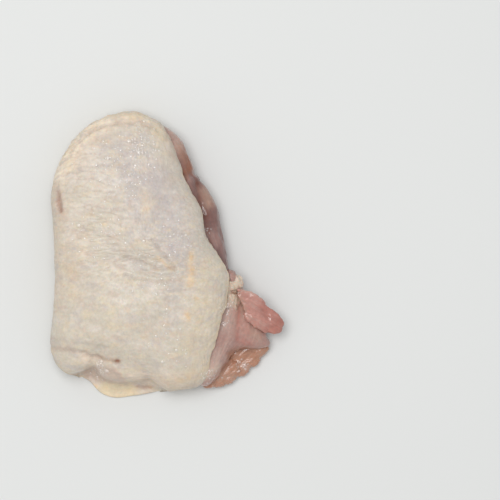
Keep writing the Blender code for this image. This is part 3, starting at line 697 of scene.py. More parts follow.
def skin_face(angle, share, ragged):
    """The skin's outer face: a row of points for each share of the way from crown to rim.

    Also gives how far each point lies from the crown along its section. The rim wavers by the
    ragged depth, more where the skin ends on top of the meat.
    """
    radii, heights, free = skin_sections(angle)
    lengths = np.cumsum(np.hypot(np.diff(radii, axis=1), np.diff(heights, axis=1)), axis=1)
    lengths = np.concatenate([np.zeros((len(lengths), 1)), lengths], axis=1)
    edge_step = int(round(FREE_EDGE_TURN / (math.pi / 2) * (SECTION_STEPS - 1)))
    reach = lengths[:, -1] + (lengths[:, edge_step] - lengths[:, -1]) * free
    turns, level = angle / TURN, angle * 0
    waver = cloudy(turns * RIM_WAVES, level, 5) + 0.5 * noise(turns * RIM_NOTCHES, level, 8)
    waver = waver + 0.5 * noise(turns * RIM_NICKS, level, 9) * free
    waver = waver * smooth_step(0, RIM_SEAM_BLEND, math.pi - np.abs(angle - math.pi))
    reach = reach + ragged * waver * (HANGING_WAVER + (1 - HANGING_WAVER) * free)
    reach = reach - ragged * WAVER_INWARD
    target = share[:, None] * reach[None, :]
    left = (lengths[None, :, :] <= target[:, :, None]).sum(axis=2) - 1
    left = left.clip(0, lengths.shape[1] - 2)
    column = np.arange(len(angle))[None, :]
    start, end = lengths[column, left], lengths[column, left + 1]
    t = (target - start) / np.maximum(end - start, 1e-9)
    radius = radii[column, left] * (1 - t) + radii[column, left + 1] * t
    height = heights[column, left] * (1 - t) + heights[column, left + 1] * t
    return with_relief(angle[None, :], radius, height), target


# Meshes from grids


def grid_normals(points):
    """Unit normals of a grid whose rows run from pole to pole and whose columns run around."""
    down = np.gradient(points, axis=0)
    around = np.roll(points, -1, axis=1) - np.roll(points, 1, axis=1)
    normals = np.cross(down, around)
    lengths = np.linalg.norm(normals, axis=2, keepdims=True)
    normals = normals / np.maximum(lengths, 1e-12)
    for pole, ring in ((0, 1), (-1, -2)):
        if np.ptp(points[pole], axis=0).max() < 1e-6:
            mean = normals[ring].mean(axis=0)
            normals[pole] = mean / np.linalg.norm(mean)
    return normals


def new_object(name, points, corners, sizes, tint):
    """An object of smooth faces: its points in millimetres, the faces' corners and sizes, its tint."""
    mesh = bpy.data.meshes.new(name)
    mesh.vertices.add(len(points))
    mesh.vertices.foreach_set("co", (points * MM).astype(np.float32).ravel())
    mesh.loops.add(len(corners))
    mesh.loops.foreach_set("vertex_index", corners.astype(np.int32))
    mesh.polygons.add(len(sizes))
    mesh.polygons.foreach_set("loop_start", (np.cumsum(sizes) - sizes).astype(np.int32))
    mesh.update(calc_edges=True)
    mesh.polygons.foreach_set("use_smooth", np.ones(len(sizes), bool))
    rgba = np.ones((len(points), 4), np.float32)
    rgba[:, :3] = tint
    mesh.attributes.new("tint", "FLOAT_COLOR", "POINT").data.foreach_set("color", rgba.ravel())
    made = bpy.data.objects.new(name, mesh)
    bpy.context.scene.collection.objects.link(made)
    return made


def closed_faces(rings, columns):
    """Corners and sizes of the faces between a first pole, rings of points and a last pole.

    Each pole has a fan of triangles, and the rings are joined by four sided faces.
    """
    ring = np.arange(rings * columns).reshape(rings, columns) + 1
    aside = np.roll(ring, -1, axis=1)
    top = np.stack([np.zeros(columns, int), ring[0], aside[0]], axis=1)
    quads = np.stack([ring[:-1], ring[1:], aside[1:], aside[:-1]], axis=2)
    bottom = np.stack([ring[-1], np.full(columns, rings * columns + 1), aside[-1]], axis=1)
    sizes = np.repeat([3, 4, 3], [columns, (rings - 1) * columns, columns])
    return np.concatenate([top.ravel(), quads.ravel(), bottom.ravel()]), sizes


def closed_mesh(name, grid, tint, fibre=None, wet=None):
    """An object from a grid whose first and last rows are poles and whose columns close around.

    Each pole becomes one vertex. The tint is one colour and the wetness one number for each point
    of the grid. The fibre map, along and across the grain, becomes a UV map.
    """
    rows, columns = grid.shape[:2]
    keep = np.concatenate([[0], np.arange(columns, (rows - 1) * columns + 1)])
    corners, sizes = closed_faces(rows - 2, columns)
    made = new_object(name, grid.reshape(-1, 3)[keep], corners, sizes, tint.reshape(-1, 3)[keep])
    mesh = made.data
    if wet is not None:
        wetness = mesh.attributes.new("wet", "FLOAT", "POINT")
        wetness.data.foreach_set("value", wet.ravel()[keep].astype(np.float32))
    if fibre is not None:
        layer = mesh.uv_layers.new(name="fibre")
        layer.data.foreach_set("uv", fibre.reshape(-1, 2)[keep][corners].astype(np.float32).ravel())
    mesh.validate()
    return made


def hand_over(piece, node, material):
    """Gives the piece its material and lets it stand for the CAD node."""
    piece.data.materials.append(material)
    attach(piece, "root")
    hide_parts(node)


def wash(tint, colour, share):
    """Moves the tint towards a colour by a share at each point."""
    return tint + (np.array(colour) - tint) * np.clip(share, 0, 1)[..., None]


def washed(tint, washes, x, y, u, v, unevenness):
    """The tint under a table of washes, each strongest on its path and uneven by its own noise."""
    *swings, seed = unevenness
    for number, (colour, path, width, strength) in enumerate(washes):
        share = strength * near_path(x, y, path, width) * uneven(u, v, *swings, seed + number)
        tint = wash(tint, colour, share)
    return tint


# The skin's own relief and colours


def skin_relief(points, unrolled, rim_distance, settings):
    """How far each point stands out, how deep in a fold and how high on a goose bump it lies.

    The height is layers of lumps, less level and crossing wrinkles, less creases whose paths waver
    between low lips, less the pit, plus waves beside the right rim, a lumpy fringe and follicles.
    """
    x, y = points[..., 0], points[..., 1]
    u, v = unrolled
    height = sum(high * cloudy(u / across, v / along, seed) for high, across, along, seed in SKIN_LUMPS)
    stretches = np.maximum(near_path(x, y, *LEFT_FOLDS), LEVEL_MIDDLE * near_path(x, y, *MIDDLE_FOLDS))
    across, along, seed = LEVEL_WRINKLES
    level_folds = wrinkles(u / across, v / along + u / LEVEL_SLANT, seed)
    level_folds = (LEVEL_ALL_OVER + stretches) * level_folds
    across, along, seed = CROSS_WRINKLES
    cross_folds = wrinkles(u / across, v / along, seed)
    height -= settings.wrinkle_depth / MM * level_folds + CROSS_DEPTH * cross_folds
    folds = LEVEL_SHADE * level_folds + CROSS_SHADE * cross_folds
    wavering_x = uneven(u, v, x, CREASE_WAVER, CREASE_WAVER_LENGTH, 37)
    wavering_y = uneven(u, v, y, CREASE_WAVER, CREASE_WAVER_LENGTH, 38)
    crease_depth = uneven(u, v, *CREASE_NOISE)
    for path, depth, width in CREASES:
        valley = near_path(wavering_x, wavering_y, path, width) * crease_depth
        height -= depth * valley
        height += LIP_HEIGHT * depth * near_path(x, y, path, LIP_WIDTH * width)
        folds = np.maximum(folds, min(1.0, CREASE_SHADE * depth) * valley)
    path, depth, width = PIT
    height -= depth * near_path(x, y, path, width)
    beside_rim = smooth_step(*EDGE_WAVES_START, rim_distance)
    beside_rim = beside_rim * (1 - smooth_step(*EDGE_WAVES_END, rim_distance))
    bend = EDGE_WAVE_BEND * cloudy(u / 5.0, v / 5.0, 41)
    waves = np.sin(TURN * rim_distance / EDGE_WAVE_LENGTH + bend)
    height += EDGE_WAVE_HEIGHT * beside_rim * near_path(x, y, *EDGE_WAVES) * waves
    fringe, goose = near_path(x, y, *FRINGE), near_path(x, y, *GOOSE_BUMPS)
    height += FRINGE_HEIGHT * fringe * cloudy(u / FRINGE_LENGTH, v / FRINGE_LENGTH, 45)
    across, along, seed = GOOSE_SPACING
    bumps = pimples(wavering_x / across, wavering_y / along, seed)
    across, along, seed = FOLLICLE_SPACING
    follicles = (FOLLICLE_HEIGHT + fringe) * pimples(u / across, v / along, seed)
    height += settings.pimple_height / MM * (follicles + GOOSE_HEIGHT * goose * bumps)
    return height, np.clip(folds, 0, 1), goose * bumps


def roll_drop(x, y):
    """1 on the apron past the foot of the folded roll, 0 on the roll, with a steep step between."""
    foot = np.array(ROLL_FOOT)
    level = smooth_through(foot[:, 0], foot[:, 1], np.clip(x, foot[0, 0], foot[-1, 0]))
    ends = smooth_step(-42.0, -35.0, x) * (1 - smooth_step(-14.0, -6.0, x))
    return smooth_step(0.0, ROLL_STEEPNESS, level - y) * ends


def skin_tint(points, unrolled, rim_distance, folds, bumps, settings):
    """The skin's colour at each point: cream under washes, some of which paint light or shade, mottling,
    painted shade in the folds and painted highlights on the goose bumps.

    The pit, the yellow rim, the mauve patch under the roll's foot, partly painted shade, the yellow apron
    and the tan underside come last.
    """
    x, y = points[..., 0], points[..., 1]
    u, v = unrolled
    tint = np.zeros(points.shape) + np.array(settings.cream)
    tint = washed(tint, SKIN_WASHES, x, y, u, v, SKIN_WASH_NOISE)
    for colour, strength, size, seed in SKIN_MOTTLES:
        patches = smooth_step(0.05, 0.6, cloudy(u / (1.3 * size), v / (0.7 * size), seed))
        tint = wash(tint, colour, strength * patches)
    tint = wash(tint, ROSE_SKIN, FOLD_ROSE * folds)
    # painted shade: the tint is darkened in the folds and creases
    tint = tint * (1 - FOLD_PAINTED_SHADE * folds)[..., None]
    # painted highlight: the tops of the goose bumps are paler
    tint = wash(tint, PALE, bumps)
    path, _depth, width = PIT
    tint = wash(tint, RED_BROWN, PIT_REDNESS * near_path(x, y, path, width))
    at_rim = np.exp(-((rim_distance / RIM_WIDTH) ** 2)) * free_share(np.arctan2(v, u))
    tint = wash(tint, YELLOW, RIM_YELLOW * at_rim * uneven(u, v, *RIM_NOISE))
    patch = depth_inside(x, y, FOLD_SHADE_PATCH) + uneven(u, v, *PATCH_EDGE_NOISE)
    patch = smooth_step(-0.8, 0.8, patch)
    # partly painted shade: mauve in the hollow where the skin folds over
    tint = wash(tint, MAUVE_FOLD_SHADE, patch * uneven(u, v, *PATCH_NOISE))
    apron = roll_drop(x, y) * (1 - patch)
    apron = APRON_YELLOW * apron * smooth_step(-27.0, -24.0, x) * (1 - smooth_step(-12.0, -7.0, x))
    tint = wash(tint, YELLOW, apron)
    under = (points[..., 2] < 0.5) & (rim_distance < TUCK + 3.0)
    tint = wash(tint, TAN, UNDERSIDE_TAN * under)
    return tint * uneven(u, v, *SKIN_GRAIN_NOISE)[..., None]


def skin_wetness(points, unrolled):
    """How wet the skin is, from 0 to 1: nearly dry, with wet stretches that fade out in patches."""
    x, y = points[..., 0], points[..., 1]
    wet = np.full(np.shape(x), DRY_SKIN)
    for path, width, strength in SKIN_WETNESS:
        wet = np.maximum(wet, strength * near_path(x, y, path, width))
    return wet * uneven(*unrolled, *WET_NOISE)


def skin_grid(settings):
    """The skin as one closed grid: out along its outer face, round its rim and back inside.

    The outer face is moved along its normals by the relief, drops past the foot of the roll and is
    ruffled at its splayed edge. The rim is a half circle across the thickness, and the inner face
    lies the thickness below the plain outer one.
    """
    columns, rows = settings.skin_columns, settings.skin_rows
    angle = np.linspace(0, TURN, columns, endpoint=False)
    share = np.linspace(0, 1, rows)
    plain, travelled = skin_face(angle, share, settings.ragged_rim / MM)
    normals = grid_normals(plain)
    unrolled = travelled * np.cos(angle), travelled * np.sin(angle)
    rim_distance = travelled[-1:] - travelled
    height, folds, bumps = skin_relief(plain, unrolled, rim_distance, settings)
    height = height * (1 - UNDERSIDE_SMOOTHING * (plain[..., 2] < UNDERSIDE_HEIGHT))
    height = height.clip(-DEEPEST_RELIEF * settings.thickness / MM)
    short_run = short_run_share(angle) * smooth_step(0.9, 0.97, share)[:, None]
    height = height * (1 - short_run)
    outer = plain + normals * height[..., None]
    drop = roll_drop(plain[..., 0], plain[..., 1]) * smooth_step(0.5, 6.0, plain[..., 2])
    outer[..., 2] -= ROLL_DROP * drop
    ruffled = smooth_step(0.9, 1.0, splay_share(angle)) * smooth_step(0.9, 1.0, share)[:, None]
    ruffles = RUFFLE_LIFT + RUFFLE_HEIGHT * cloudy(angle / TURN * RUFFLE_WAVES, angle * 0, 99)
    outer[..., 2] += ruffled * ruffles
    tint = skin_tint(plain, unrolled, rim_distance, folds, bumps, settings)
    wet = skin_wetness(plain, unrolled)
    thinning = FREE_THINNING * free_share(angle) * smooth_step(0.8, 1.0, share)[:, None]
    thinning = thinning + SHORT_RUN_THINNING * short_run
    thickness = settings.thickness / MM * (1 - thinning)
    outward = plain[-1] - plain[-2]
    outward /= np.linalg.norm(outward, axis=1, keepdims=True)
    bend = np.linspace(0, math.pi, RIM_STEPS + 2)[1:-1][:, None, None]
    half = thickness[-1][:, None] / 2
    rim = outer[-1] - normals[-1] * half * (1 - np.cos(bend)) + outward * half * np.sin(bend)
    inner = (plain - normals * thickness[..., None])[::-INNER_ROW_STEP]
    grid = np.concatenate([outer, rim, inner])
    grid[-1] = grid[-1].mean(axis=0)
    grid[..., 2] = grid[..., 2].clip(0.0)
    rim_tint = np.broadcast_to(tint[-1], rim.shape)
    inner_tint = np.broadcast_to(np.array(TAN), inner.shape)
    wet = np.concatenate([wet, np.full((len(rim) + len(inner), columns), DRY_SKIN)])
    return grid, np.concatenate([tint, rim_tint, inner_tint]), wet


# The muscles and the fat


def flesh_noise(along, across, seed, length, width, step):
    """Noise of a length along the fibres and a width across them."""
    return cloudy(along / length, across / width, seed + step)


def flesh_relief(points, along, across, finish, seed):
    """How far flesh stands out: fibres, which are long noise, rounder lumps and grains, less furrows."""
    fibres, lumps, grains = (
        flesh_noise(along, across, seed, *kind) for kind in (FIBRE_NOISE, LUMP_NOISE, GRAIN_NOISE)
    )
    height = finish["fibre_depth"] * fibres + finish["lump_depth"] * lumps + GRAIN_HEIGHT * grains
    for path, depth, width in FURROWS:
        height = height - depth * near_path(points[..., 0], points[..., 1], path, width)
    return height, fibres, lumps


def flesh_tint(points, along, across, finish, fibres, lumps, seed):
    """Ground colour with the side colour low down and in the hollows, mostly darker as painted shade,
    paler streaks along the fibres, and washes.
    """
    ground, streak, side = finish["colours"]
    tint = np.zeros(points.shape) + np.array(ground)
    high, _widest, bottom = finish["heights"]
    low = 1 - smooth_step(0.25, 0.75, (points[..., 2] - bottom) / (high - bottom))
    # painted shade: the mostly darker side colour low down and in the hollows between lumps
    tint = wash(tint, side, 0.8 * low + 0.4 * smooth_step(0.1, 0.8, -lumps))
    tint = wash(tint, streak, STREAK_STRENGTH * smooth_step(0.0, 0.9, fibres + 0.5 * lumps))
    x, y = points[..., 0], points[..., 1]
    tint = washed(tint, FLESH_WASHES, x, y, x, y, FLESH_WASH_NOISE)
    film = smooth_step(0.35, 0.7, flesh_noise(along, across, seed, *FILM_NOISE))
    grain = uneven(x, y, 1, GRAIN_STRENGTH, GRAIN_LENGTH, seed)
    return wash(tint, PINK_MAUVE, FILM_STRENGTH * film) * grain[..., None]


def pad_grid(pad, columns, rows):
    """A lump with the pad's outline from above, as a superellipse dome over an upside down one.

    The outline is made uneven by a sum of sine waves around it. The dome's top is a plane with the
    pad's slope, and both halves meet upright at the widest level. Also gives how far along and
    across the fibres each point lies.
    """
    angle = np.linspace(0, TURN, columns, endpoint=False)[None, :]
    polar = np.linspace(0, math.pi, rows)[:, None]
    middle, (top, widest, bottom) = pad["middle"], pad["heights"]
    waver = sum(height * np.sin(waves * angle + shift * top) for waves, height, shift in OUTLINE_WAVES)
    waver = 1 + OUTLINE_WAVE_HEIGHT * pad.get("ragged", 1.0) * waver
    reach = radius_around(pad["outline"], middle, angle) * waver
    radius = reach * np.sin(polar).clip(0) ** pad["square"]
    away_x, away_y = radius * np.cos(angle), radius * np.sin(angle)
    rise = np.cos(polar)
    plane = pad["slope"][0] * away_x + pad["slope"][1] * away_y
    level = widest + pad["follow"] * plane
    depth = np.where(rise > 0, top + plane - level, widest - bottom)
    height = level + depth * np.sign(rise) * np.abs(rise) ** pad["square"]
    points = np.stack([middle[0] + away_x, middle[1] + away_y, height], axis=-1)
    grain = math.radians(pad["fibres"])
    along = points[..., 0] * math.cos(grain) + points[..., 1] * math.sin(grain)
    across = points[..., 1] * math.cos(grain) - points[..., 0] * math.sin(grain)
    across = across + HEIGHT_ACROSS * height
    sway = cloudy(along / FIBRE_SWAY_LENGTH, across / FIBRE_SWAY_LENGTH, 97)
    return points, along, across + FIBRE_SWAY * sway


def strand_grid(stations, columns, rows):
    """A long muscle: an oval carried along a smooth path through the stations, with blunt ends."""
    stations = np.array(stations)
    knots = np.linspace(0, 1, len(stations))
    around = np.linspace(0, TURN, columns, endpoint=False)
    polar = np.linspace(0, math.pi, rows)
    place = (1 - np.cos(polar)) / 2

    def at(share):
        return np.stack([smooth_through(knots, column, share) for column in stations.T], axis=1)

    here = at(place)
    forward = at(np.minimum(place + END_STEP, 1.0)) - at(np.maximum(place - END_STEP, 0.0))
    forward = forward[:, :3]
    forward /= np.linalg.norm(forward, axis=1, keepdims=True)
    aside = np.cross(forward, (0.0, 0.0, 1.0))
    aside /= np.linalg.norm(aside, axis=1, keepdims=True)
    upward = np.cross(aside, forward)
    fullness = np.sin(polar).clip(0) ** END_BLUNTNESS
    wide = (here[:, 3] * fullness)[:, None] * np.cos(around)[None, :]
    high = (here[:, 4] * fullness)[:, None] * np.sin(around)[None, :]
    points = here[:, None, :3] + aside[:, None] * wide[..., None] + upward[:, None] * high[..., None]
    length = np.linalg.norm(stations[-1, :3] - stations[0, :3])
    along = np.broadcast_to((place * length)[:, None], wide.shape)
    return points, along, wide + HEIGHT_ACROSS * high


def build_flesh(name, shape, finish, seed, material):
    """One muscle or lump of fat: its grid with the relief on it, its tint and its grain map."""
    points, along, across = shape
    height, fibres, lumps = flesh_relief(points, along, across, finish, seed)
    tint = flesh_tint(points, along, across, finish, fibres, lumps, seed)
    points = points + grid_normals(points) * height[..., None]
    points[[0, -1]] = points[[0, -1]].mean(axis=1, keepdims=True)
    points[..., 2] = points[..., 2].clip(0.0)
    fibre = np.stack([along, across], axis=-1) / FIBRE_MAP_LENGTH
    hand_over(closed_mesh(name, points, tint, fibre), "meat", material)


def core_grid(columns, rows):
    """The lump of meat under the skin: the skin's dome brought in, over a flat bottom."""
    angle = np.linspace(0, TURN, columns, endpoint=False)[None, :]
    polar = np.linspace(0, math.pi, rows)[:, None]
    waist = waist_radius(angle) - CORE_INSET
    squareness = 2 / DOME_POWER
    above = np.clip(polar, 0, math.pi / 2)
    below = np.clip(2 * (polar - math.pi / 2), 0, math.pi / 2)
    inward = np.clip((polar - 3 * math.pi / 4) / (math.pi / 4), 0, 1)
    dome = (dome_reach(angle, waist + CORE_INSET, above) - CORE_INSET) * np.sin(above) ** squareness
    rim = waist - CORE_TURN_IN - TURN_IN * (1 - splay_share(angle)) * CORE_TURN_SHARE
    side = waist + (rim - waist) * (1 - np.cos(below))
    radius = np.where(polar <= math.pi / 2, dome, side * (1 - inward))
    lift = CORE_INSET * (1 - smooth_step(0.2, 0.4, inward))
    height = np.where(
        polar <= math.pi / 2,
        WAIST_HEIGHT + (CROWN_HEIGHT - CORE_INSET - WAIST_HEIGHT) * np.cos(above).clip(0) ** squareness,
        WAIST_HEIGHT - (WAIST_HEIGHT - lift) * np.sin(below),
    )
    points = with_relief(angle, radius, height)
    points[[0, -1]] = points[[0, -1]].mean(axis=1, keepdims=True)
    return points


def core_tint(u, v):
    """The hidden meat's colour: its ground with darker lumps and paler streaks of noise."""
    ground, streak, dark = CORE_COLOURS
    tint = np.zeros((*u.shape, 3)) + np.array(ground)
    tint = wash(tint, dark, smooth_step(0.0, 0.7, cloudy(u / 6.0, v / 6.0, 301)))
    return wash(tint, streak, 0.7 * smooth_step(0.1, 0.8, cloudy(u / 1.4, v / 9.0, 305)))


# Moisture


def upward_surface(names):
    """Places in millimetres, normals and tints of the points of some pieces that face upward."""
    found = []
    for name in names:
        mesh = bpy.data.objects[name].data
        values = []
        for source, key, parts in (
            (mesh.vertices, "co", 3), (mesh.vertices, "normal", 3),
            (mesh.attributes["tint"].data, "color", 4),
        ):
            flat = np.zeros(parts * len(mesh.vertices))
            source.foreach_get(key, flat)
            values.append(flat.reshape(-1, parts)[:, :3])
        upward = values[1][:, 2] > UPWARD
        found.append([value[upward] for value in values])
    places, normals, tints = map(np.concatenate, zip(*found))
    return places / MM, normals, tints


def bead_places(points, normals, tints, settings):
    """Where beads of moisture sit on the skin and the meat: places, normals and tints.

    Single beads come from their table, clusters are drawn by a bell curve, and each takes the
    highest point of the surface near it.
    """
    rng = np.random.default_rng(BEAD_PLACE_SEED)
    spots = [np.array(BEADS)]
    for middle, spread, count in BEAD_CLUSTERS:
        spots.append(rng.normal(middle, spread / 2, (int(count * settings.bead_share), 2)))
    spots = np.concatenate(spots)[:, None]
    away = np.hypot(points[:, 0] - spots[..., 0], points[:, 1] - spots[..., 1])
    score = np.where(away < BEAD_REACH, points[:, 2], -1.0)
    best = score.argmax(axis=1)[score.max(axis=1) > 0]
    return points[best], normals[best], tints[best]


def bead_mesh(name, places, normals, tints, radii):
    """Flat round caps, one at each place: rings of a squashed ball turned to the surface's normal."""
    around = np.linspace(0, TURN, BEAD_SIDES, endpoint=False)
    polar = np.array(BEAD_RINGS)[:, None]
    level = np.cos(polar) * np.ones(BEAD_SIDES) * BEAD_FLATNESS - BEAD_SINK
    rings = np.stack([np.sin(polar) * np.cos(around), np.sin(polar) * np.sin(around), level], axis=-1)
    ball = np.concatenate([[(0, 0, BEAD_TOP)], rings.reshape(-1, 3), [(0, 0, BEAD_BOTTOM)]])
    aside = np.cross(normals, (0.0, 1.0, 0.0))
    aside /= np.linalg.norm(aside, axis=1, keepdims=True)
    axes = np.stack([aside, np.cross(normals, aside), normals], axis=1)
    points = places[:, None, :] + np.einsum("vk,nkc->nvc", ball, axes) * radii[:, None, None]
    corners, sizes = closed_faces(len(BEAD_RINGS), BEAD_SIDES)
    corners = corners + len(ball) * np.arange(len(places))[:, None]
    tint = np.repeat(tints, len(ball), axis=0)
    return new_object(name, points.reshape(-1, 3), corners.ravel(), np.tile(sizes, len(places)), tint)


# Materials


def set_inputs(node, **values):
    """Gives inputs of a node their values. A low line in a name stands for its space."""
    for name, value in values.items():
        node.inputs[name.replace("_", " ")].default_value = value


def add_node(tree, kind, place, **values):
    """A node of a kind at a place in the tree, with values for its inputs."""
    node = tree.nodes.new(kind)
    node.location = place
    set_inputs(node, **values)
    return node


def add_group(tree, group, place, **values):
    """A node for a shared group at a place in the tree, with values for its inputs."""
    node = add_node(tree, "ShaderNodeGroup", place)
    node.node_tree = group
    set_inputs(node, **values)
    return node


def add_attribute(tree, name, place):
    """A node that reads an attribute of the mesh."""
    node = add_node(tree, "ShaderNodeAttribute", place)
    node.attribute_name = name
    return node


def join(tree, *links):
    """Links, each from a node's output to a node's input."""
    for start, output, end, entry in links:
        tree.links.new(start.outputs[output], end.inputs[entry])


def new_group(name, inputs, outputs):
    """A shader group with its sockets, its two end nodes and a node for Object coordinates."""
    group = bpy.data.node_groups.new(name, "ShaderNodeTree")
    for in_out, sockets in (("INPUT", inputs), ("OUTPUT", outputs)):
        for socket, kind in sockets.items():
            group.interface.new_socket(name=socket, in_out=in_out, socket_type=kind)
    source = add_node(group, "NodeGroupInput", (-800, 0))
    sink = add_node(group, "NodeGroupOutput", (500, 0))
    return group, source, sink, add_node(group, "ShaderNodeTexCoord", (-800, -300))


def mottle_group():
    """Colour that wavers between darker and lighter in soft patches on Object coordinates."""
    name = "soft mottling"
    if name in bpy.data.node_groups:
        return bpy.data.node_groups[name]
    group, source, sink, place = new_group(
        name,
        {"Colour": "NodeSocketColor", "Scale": "NodeSocketFloat", "Amount": "NodeSocketFloat"},
        {"Colour": "NodeSocketColor"},
    )
    patches = add_node(group, "ShaderNodeTexNoise", (-500, -200), Detail=5.0, Roughness=0.62)
    spread = add_node(
        group, "ShaderNodeMapRange", (-250, -200), From_Min=0.3, From_Max=0.7, To_Min=-1.0, To_Max=1.0
    )
    gain = add_node(group, "ShaderNodeMath", (0, -200))
    gain.operation = "MULTIPLY_ADD"
    gain.inputs[2].default_value = 1.0
    tinted = add_node(group, "ShaderNodeVectorMath", (250, 0))
    tinted.operation = "MULTIPLY"
    join(
        group,
        (place, "Object", patches, "Vector"), (source, "Scale", patches, "Scale"),
        (patches, "Fac", spread, "Value"), (spread, "Result", gain, 0), (source, "Amount", gain, 1),
        (source, "Colour", tinted, 0), (gain, "Value", tinted, 1), (tinted, "Vector", sink, "Colour"),
    )
    return group


def wet_film_group():
    """A patchy wet film: where it lies, and the height of its small ripples."""
    name = "wet film"
    if name in bpy.data.node_groups:
        return bpy.data.node_groups[name]
    group, source, sink, place = new_group(
        name,
        dict.fromkeys(("Patch Scale", "Ripple Scale", "Least", "Most"), "NodeSocketFloat"),
        dict.fromkeys(("Film", "Ripples"), "NodeSocketFloat"),
    )
    patches = add_node(group, "ShaderNodeTexNoise", (-450, 100), Detail=3.0)
    spread = add_node(group, "ShaderNodeMapRange", (-150, 100), From_Min=0.4, From_Max=0.65)
    ripples = add_node(group, "ShaderNodeTexNoise", (-450, -250), Detail=3.0, Roughness=0.6)
    join(
        group,
        (place, "Object", patches, "Vector"), (place, "Object", ripples, "Vector"),
        (source, "Patch Scale", patches, "Scale"), (source, "Ripple Scale", ripples, "Scale"),
        (patches, "Fac", spread, "Value"), (source, "Least", spread, "To Min"),
        (source, "Most", spread, "To Max"), (spread, "Result", sink, "Film"),
        (ripples, "Fac", sink, "Ripples"),
    )
    return group


def new_material(name):
    """An empty material with a Principled shader, its tree and the shader."""
    made = bpy.data.materials.new(name)
    made.use_nodes = True
    return made, made.node_tree, made.node_tree.nodes["Principled BSDF"]


def add_bumps(tree, shader, first, second):
    """Two bumps in a row for the shader, each from a node's output, with its strength and distance."""
    normal = None
    for place, (node, output, strength, distance) in zip(((-300, -200), (-100, -200)), (first, second)):
        bump = add_node(tree, "ShaderNodeBump", place, Strength=strength, Distance=distance)
        join(tree, (node, output, bump, "Height"))
        if normal is not None:
            join(tree, (normal, "Normal", bump, "Normal"))
        normal = bump
    join(tree, (normal, "Normal", shader, "Normal"))


def skin_material(settings):
    """Damp skin: the tint with soft mottling, fine pores as bump, and a patchy wet film."""
    made, tree, shader = new_material("raw_skin")
    set_inputs(
        shader, Roughness=settings.roughness, Specular_IOR_Level=0.3, Coat_Roughness=0.2,
        Subsurface_Weight=settings.softness, Subsurface_Radius=(1.0, 0.5, 0.3),
        Subsurface_Scale=0.0016,
    )
    tint = add_attribute(tree, "tint", (-900, 300))
    mottle = add_group(tree, mottle_group(), (-600, 300), Scale=900.0, Amount=0.07)
    film = add_group(
        tree, wet_film_group(), (-600, 0), Patch_Scale=220.0, Ripple_Scale=900.0, Least=0.4, Most=1.0
    )
    wetness = add_attribute(tree, "wet", (-600, -200))
    coat = add_node(tree, "ShaderNodeMath", (-300, 50))
    coat.operation = "MULTIPLY"
    place = add_node(tree, "ShaderNodeTexCoord", (-1200, -300))
    pores = add_node(tree, "ShaderNodeTexVoronoi", (-900, -300), Scale=900.0)
    pores.feature = "SMOOTH_F1"
    join(
        tree,
        (tint, "Color", mottle, "Colour"), (mottle, "Colour", shader, "Base Color"),
        (film, "Film", coat, 0), (wetness, "Fac", coat, 1), (coat, "Value", shader, "Coat Weight"),
        (place, "Object", pores, "Vector"),
    )
    add_bumps(tree, shader, (pores, "Distance", 0.35, 0.00025), (film, "Ripples", 0.25, 0.0002))
    return made


def flesh_material(name, softness, gloss, grain):
    """Wet flesh or fat: the tint with streaks along the grain, under a glossy film."""
    made, tree, shader = new_material(name)
    set_inputs(
        shader, Roughness=0.34, Specular_IOR_Level=0.3, Coat_Roughness=0.09,
        Subsurface_Weight=softness, Subsurface_Radius=(1.0, 0.35, 0.25), Subsurface_Scale=0.0018,
    )
    tint = add_attribute(tree, "tint", (-900, 300))
    mottle = add_group(tree, mottle_group(), (-350, 300), Scale=700.0, Amount=0.1)
    film = add_group(
        tree, wet_film_group(), (-600, 0), Patch_Scale=260.0, Ripple_Scale=700.0,
        Least=0.3 * gloss, Most=gloss,
    )
    grain_map = add_node(tree, "ShaderNodeUVMap", (-1300, -300))
    grain_map.uv_map = "fibre"
    stretch = add_node(tree, "ShaderNodeMapping", (-1100, -300), Scale=(1.3, 9.0, 1.0))
    threads = add_node(tree, "ShaderNodeTexNoise", (-900, -300), Scale=1.0, Detail=4.0, Roughness=0.6)
    streaks = add_node(
        tree, "ShaderNodeMapRange", (-650, -300), From_Min=0.3, From_Max=0.7,
        To_Min=1.0 - grain, To_Max=1.0 + grain,
    )
    shaded = add_node(tree, "ShaderNodeVectorMath", (-550, 300))
    shaded.operation = "MULTIPLY"
    join(
        tree,
        (grain_map, "UV", stretch, "Vector"), (stretch, "Vector", threads, "Vector"),
        (threads, "Fac", streaks, "Value"), (tint, "Color", shaded, 0), (streaks, "Result", shaded, 1),
        (shaded, "Vector", mottle, "Colour"), (mottle, "Colour", shader, "Base Color"),
        (film, "Film", shader, "Coat Weight"),
    )
    add_bumps(tree, shader, (threads, "Fac", 0.25, 0.0003), (film, "Ripples", 0.3, 0.0003))
    return made


def bead_material():
    """A bead of moisture: the tint under it, with a hard bright gloss."""
    made, tree, shader = new_material("moisture_bead")
    set_inputs(shader, Roughness=0.06, IOR=1.5, Coat_Weight=1.0, Coat_Roughness=0.03)
    join(tree, (add_attribute(tree, "tint", (-400, 300)), "Color", shader, "Base Color"))
    return made


def plain_material(name, colour, roughness):
    """A plain matt surface of one colour."""
    made, _tree, shader = new_material(name)
    set_inputs(shader, Base_Color=(*colour, 1.0), Roughness=roughness)
    return made


# Settings


def length_setting(name, description, default, low, high):
    """A setting in metres."""
    return FloatProperty(
        name=name, description=description, default=default, min=low, max=high, unit="LENGTH"
    )


def share_setting(name, description, default):
    """A setting from 0 to 1."""
    return FloatProperty(
        name=name, description=description, default=default, min=0.0, max=1.0, subtype="FACTOR"
    )


def colour_setting(name, description, default):
    """A setting for a linear colour."""
    return FloatVectorProperty(
        name=name, description=description, default=default, min=0.0, max=1.0, subtype="COLOR"
    )


def steps_setting(name, description, default, low, high):
    """A setting for a number of mesh steps."""
    return IntProperty(name=name, description=description, default=default, min=low, max=high)


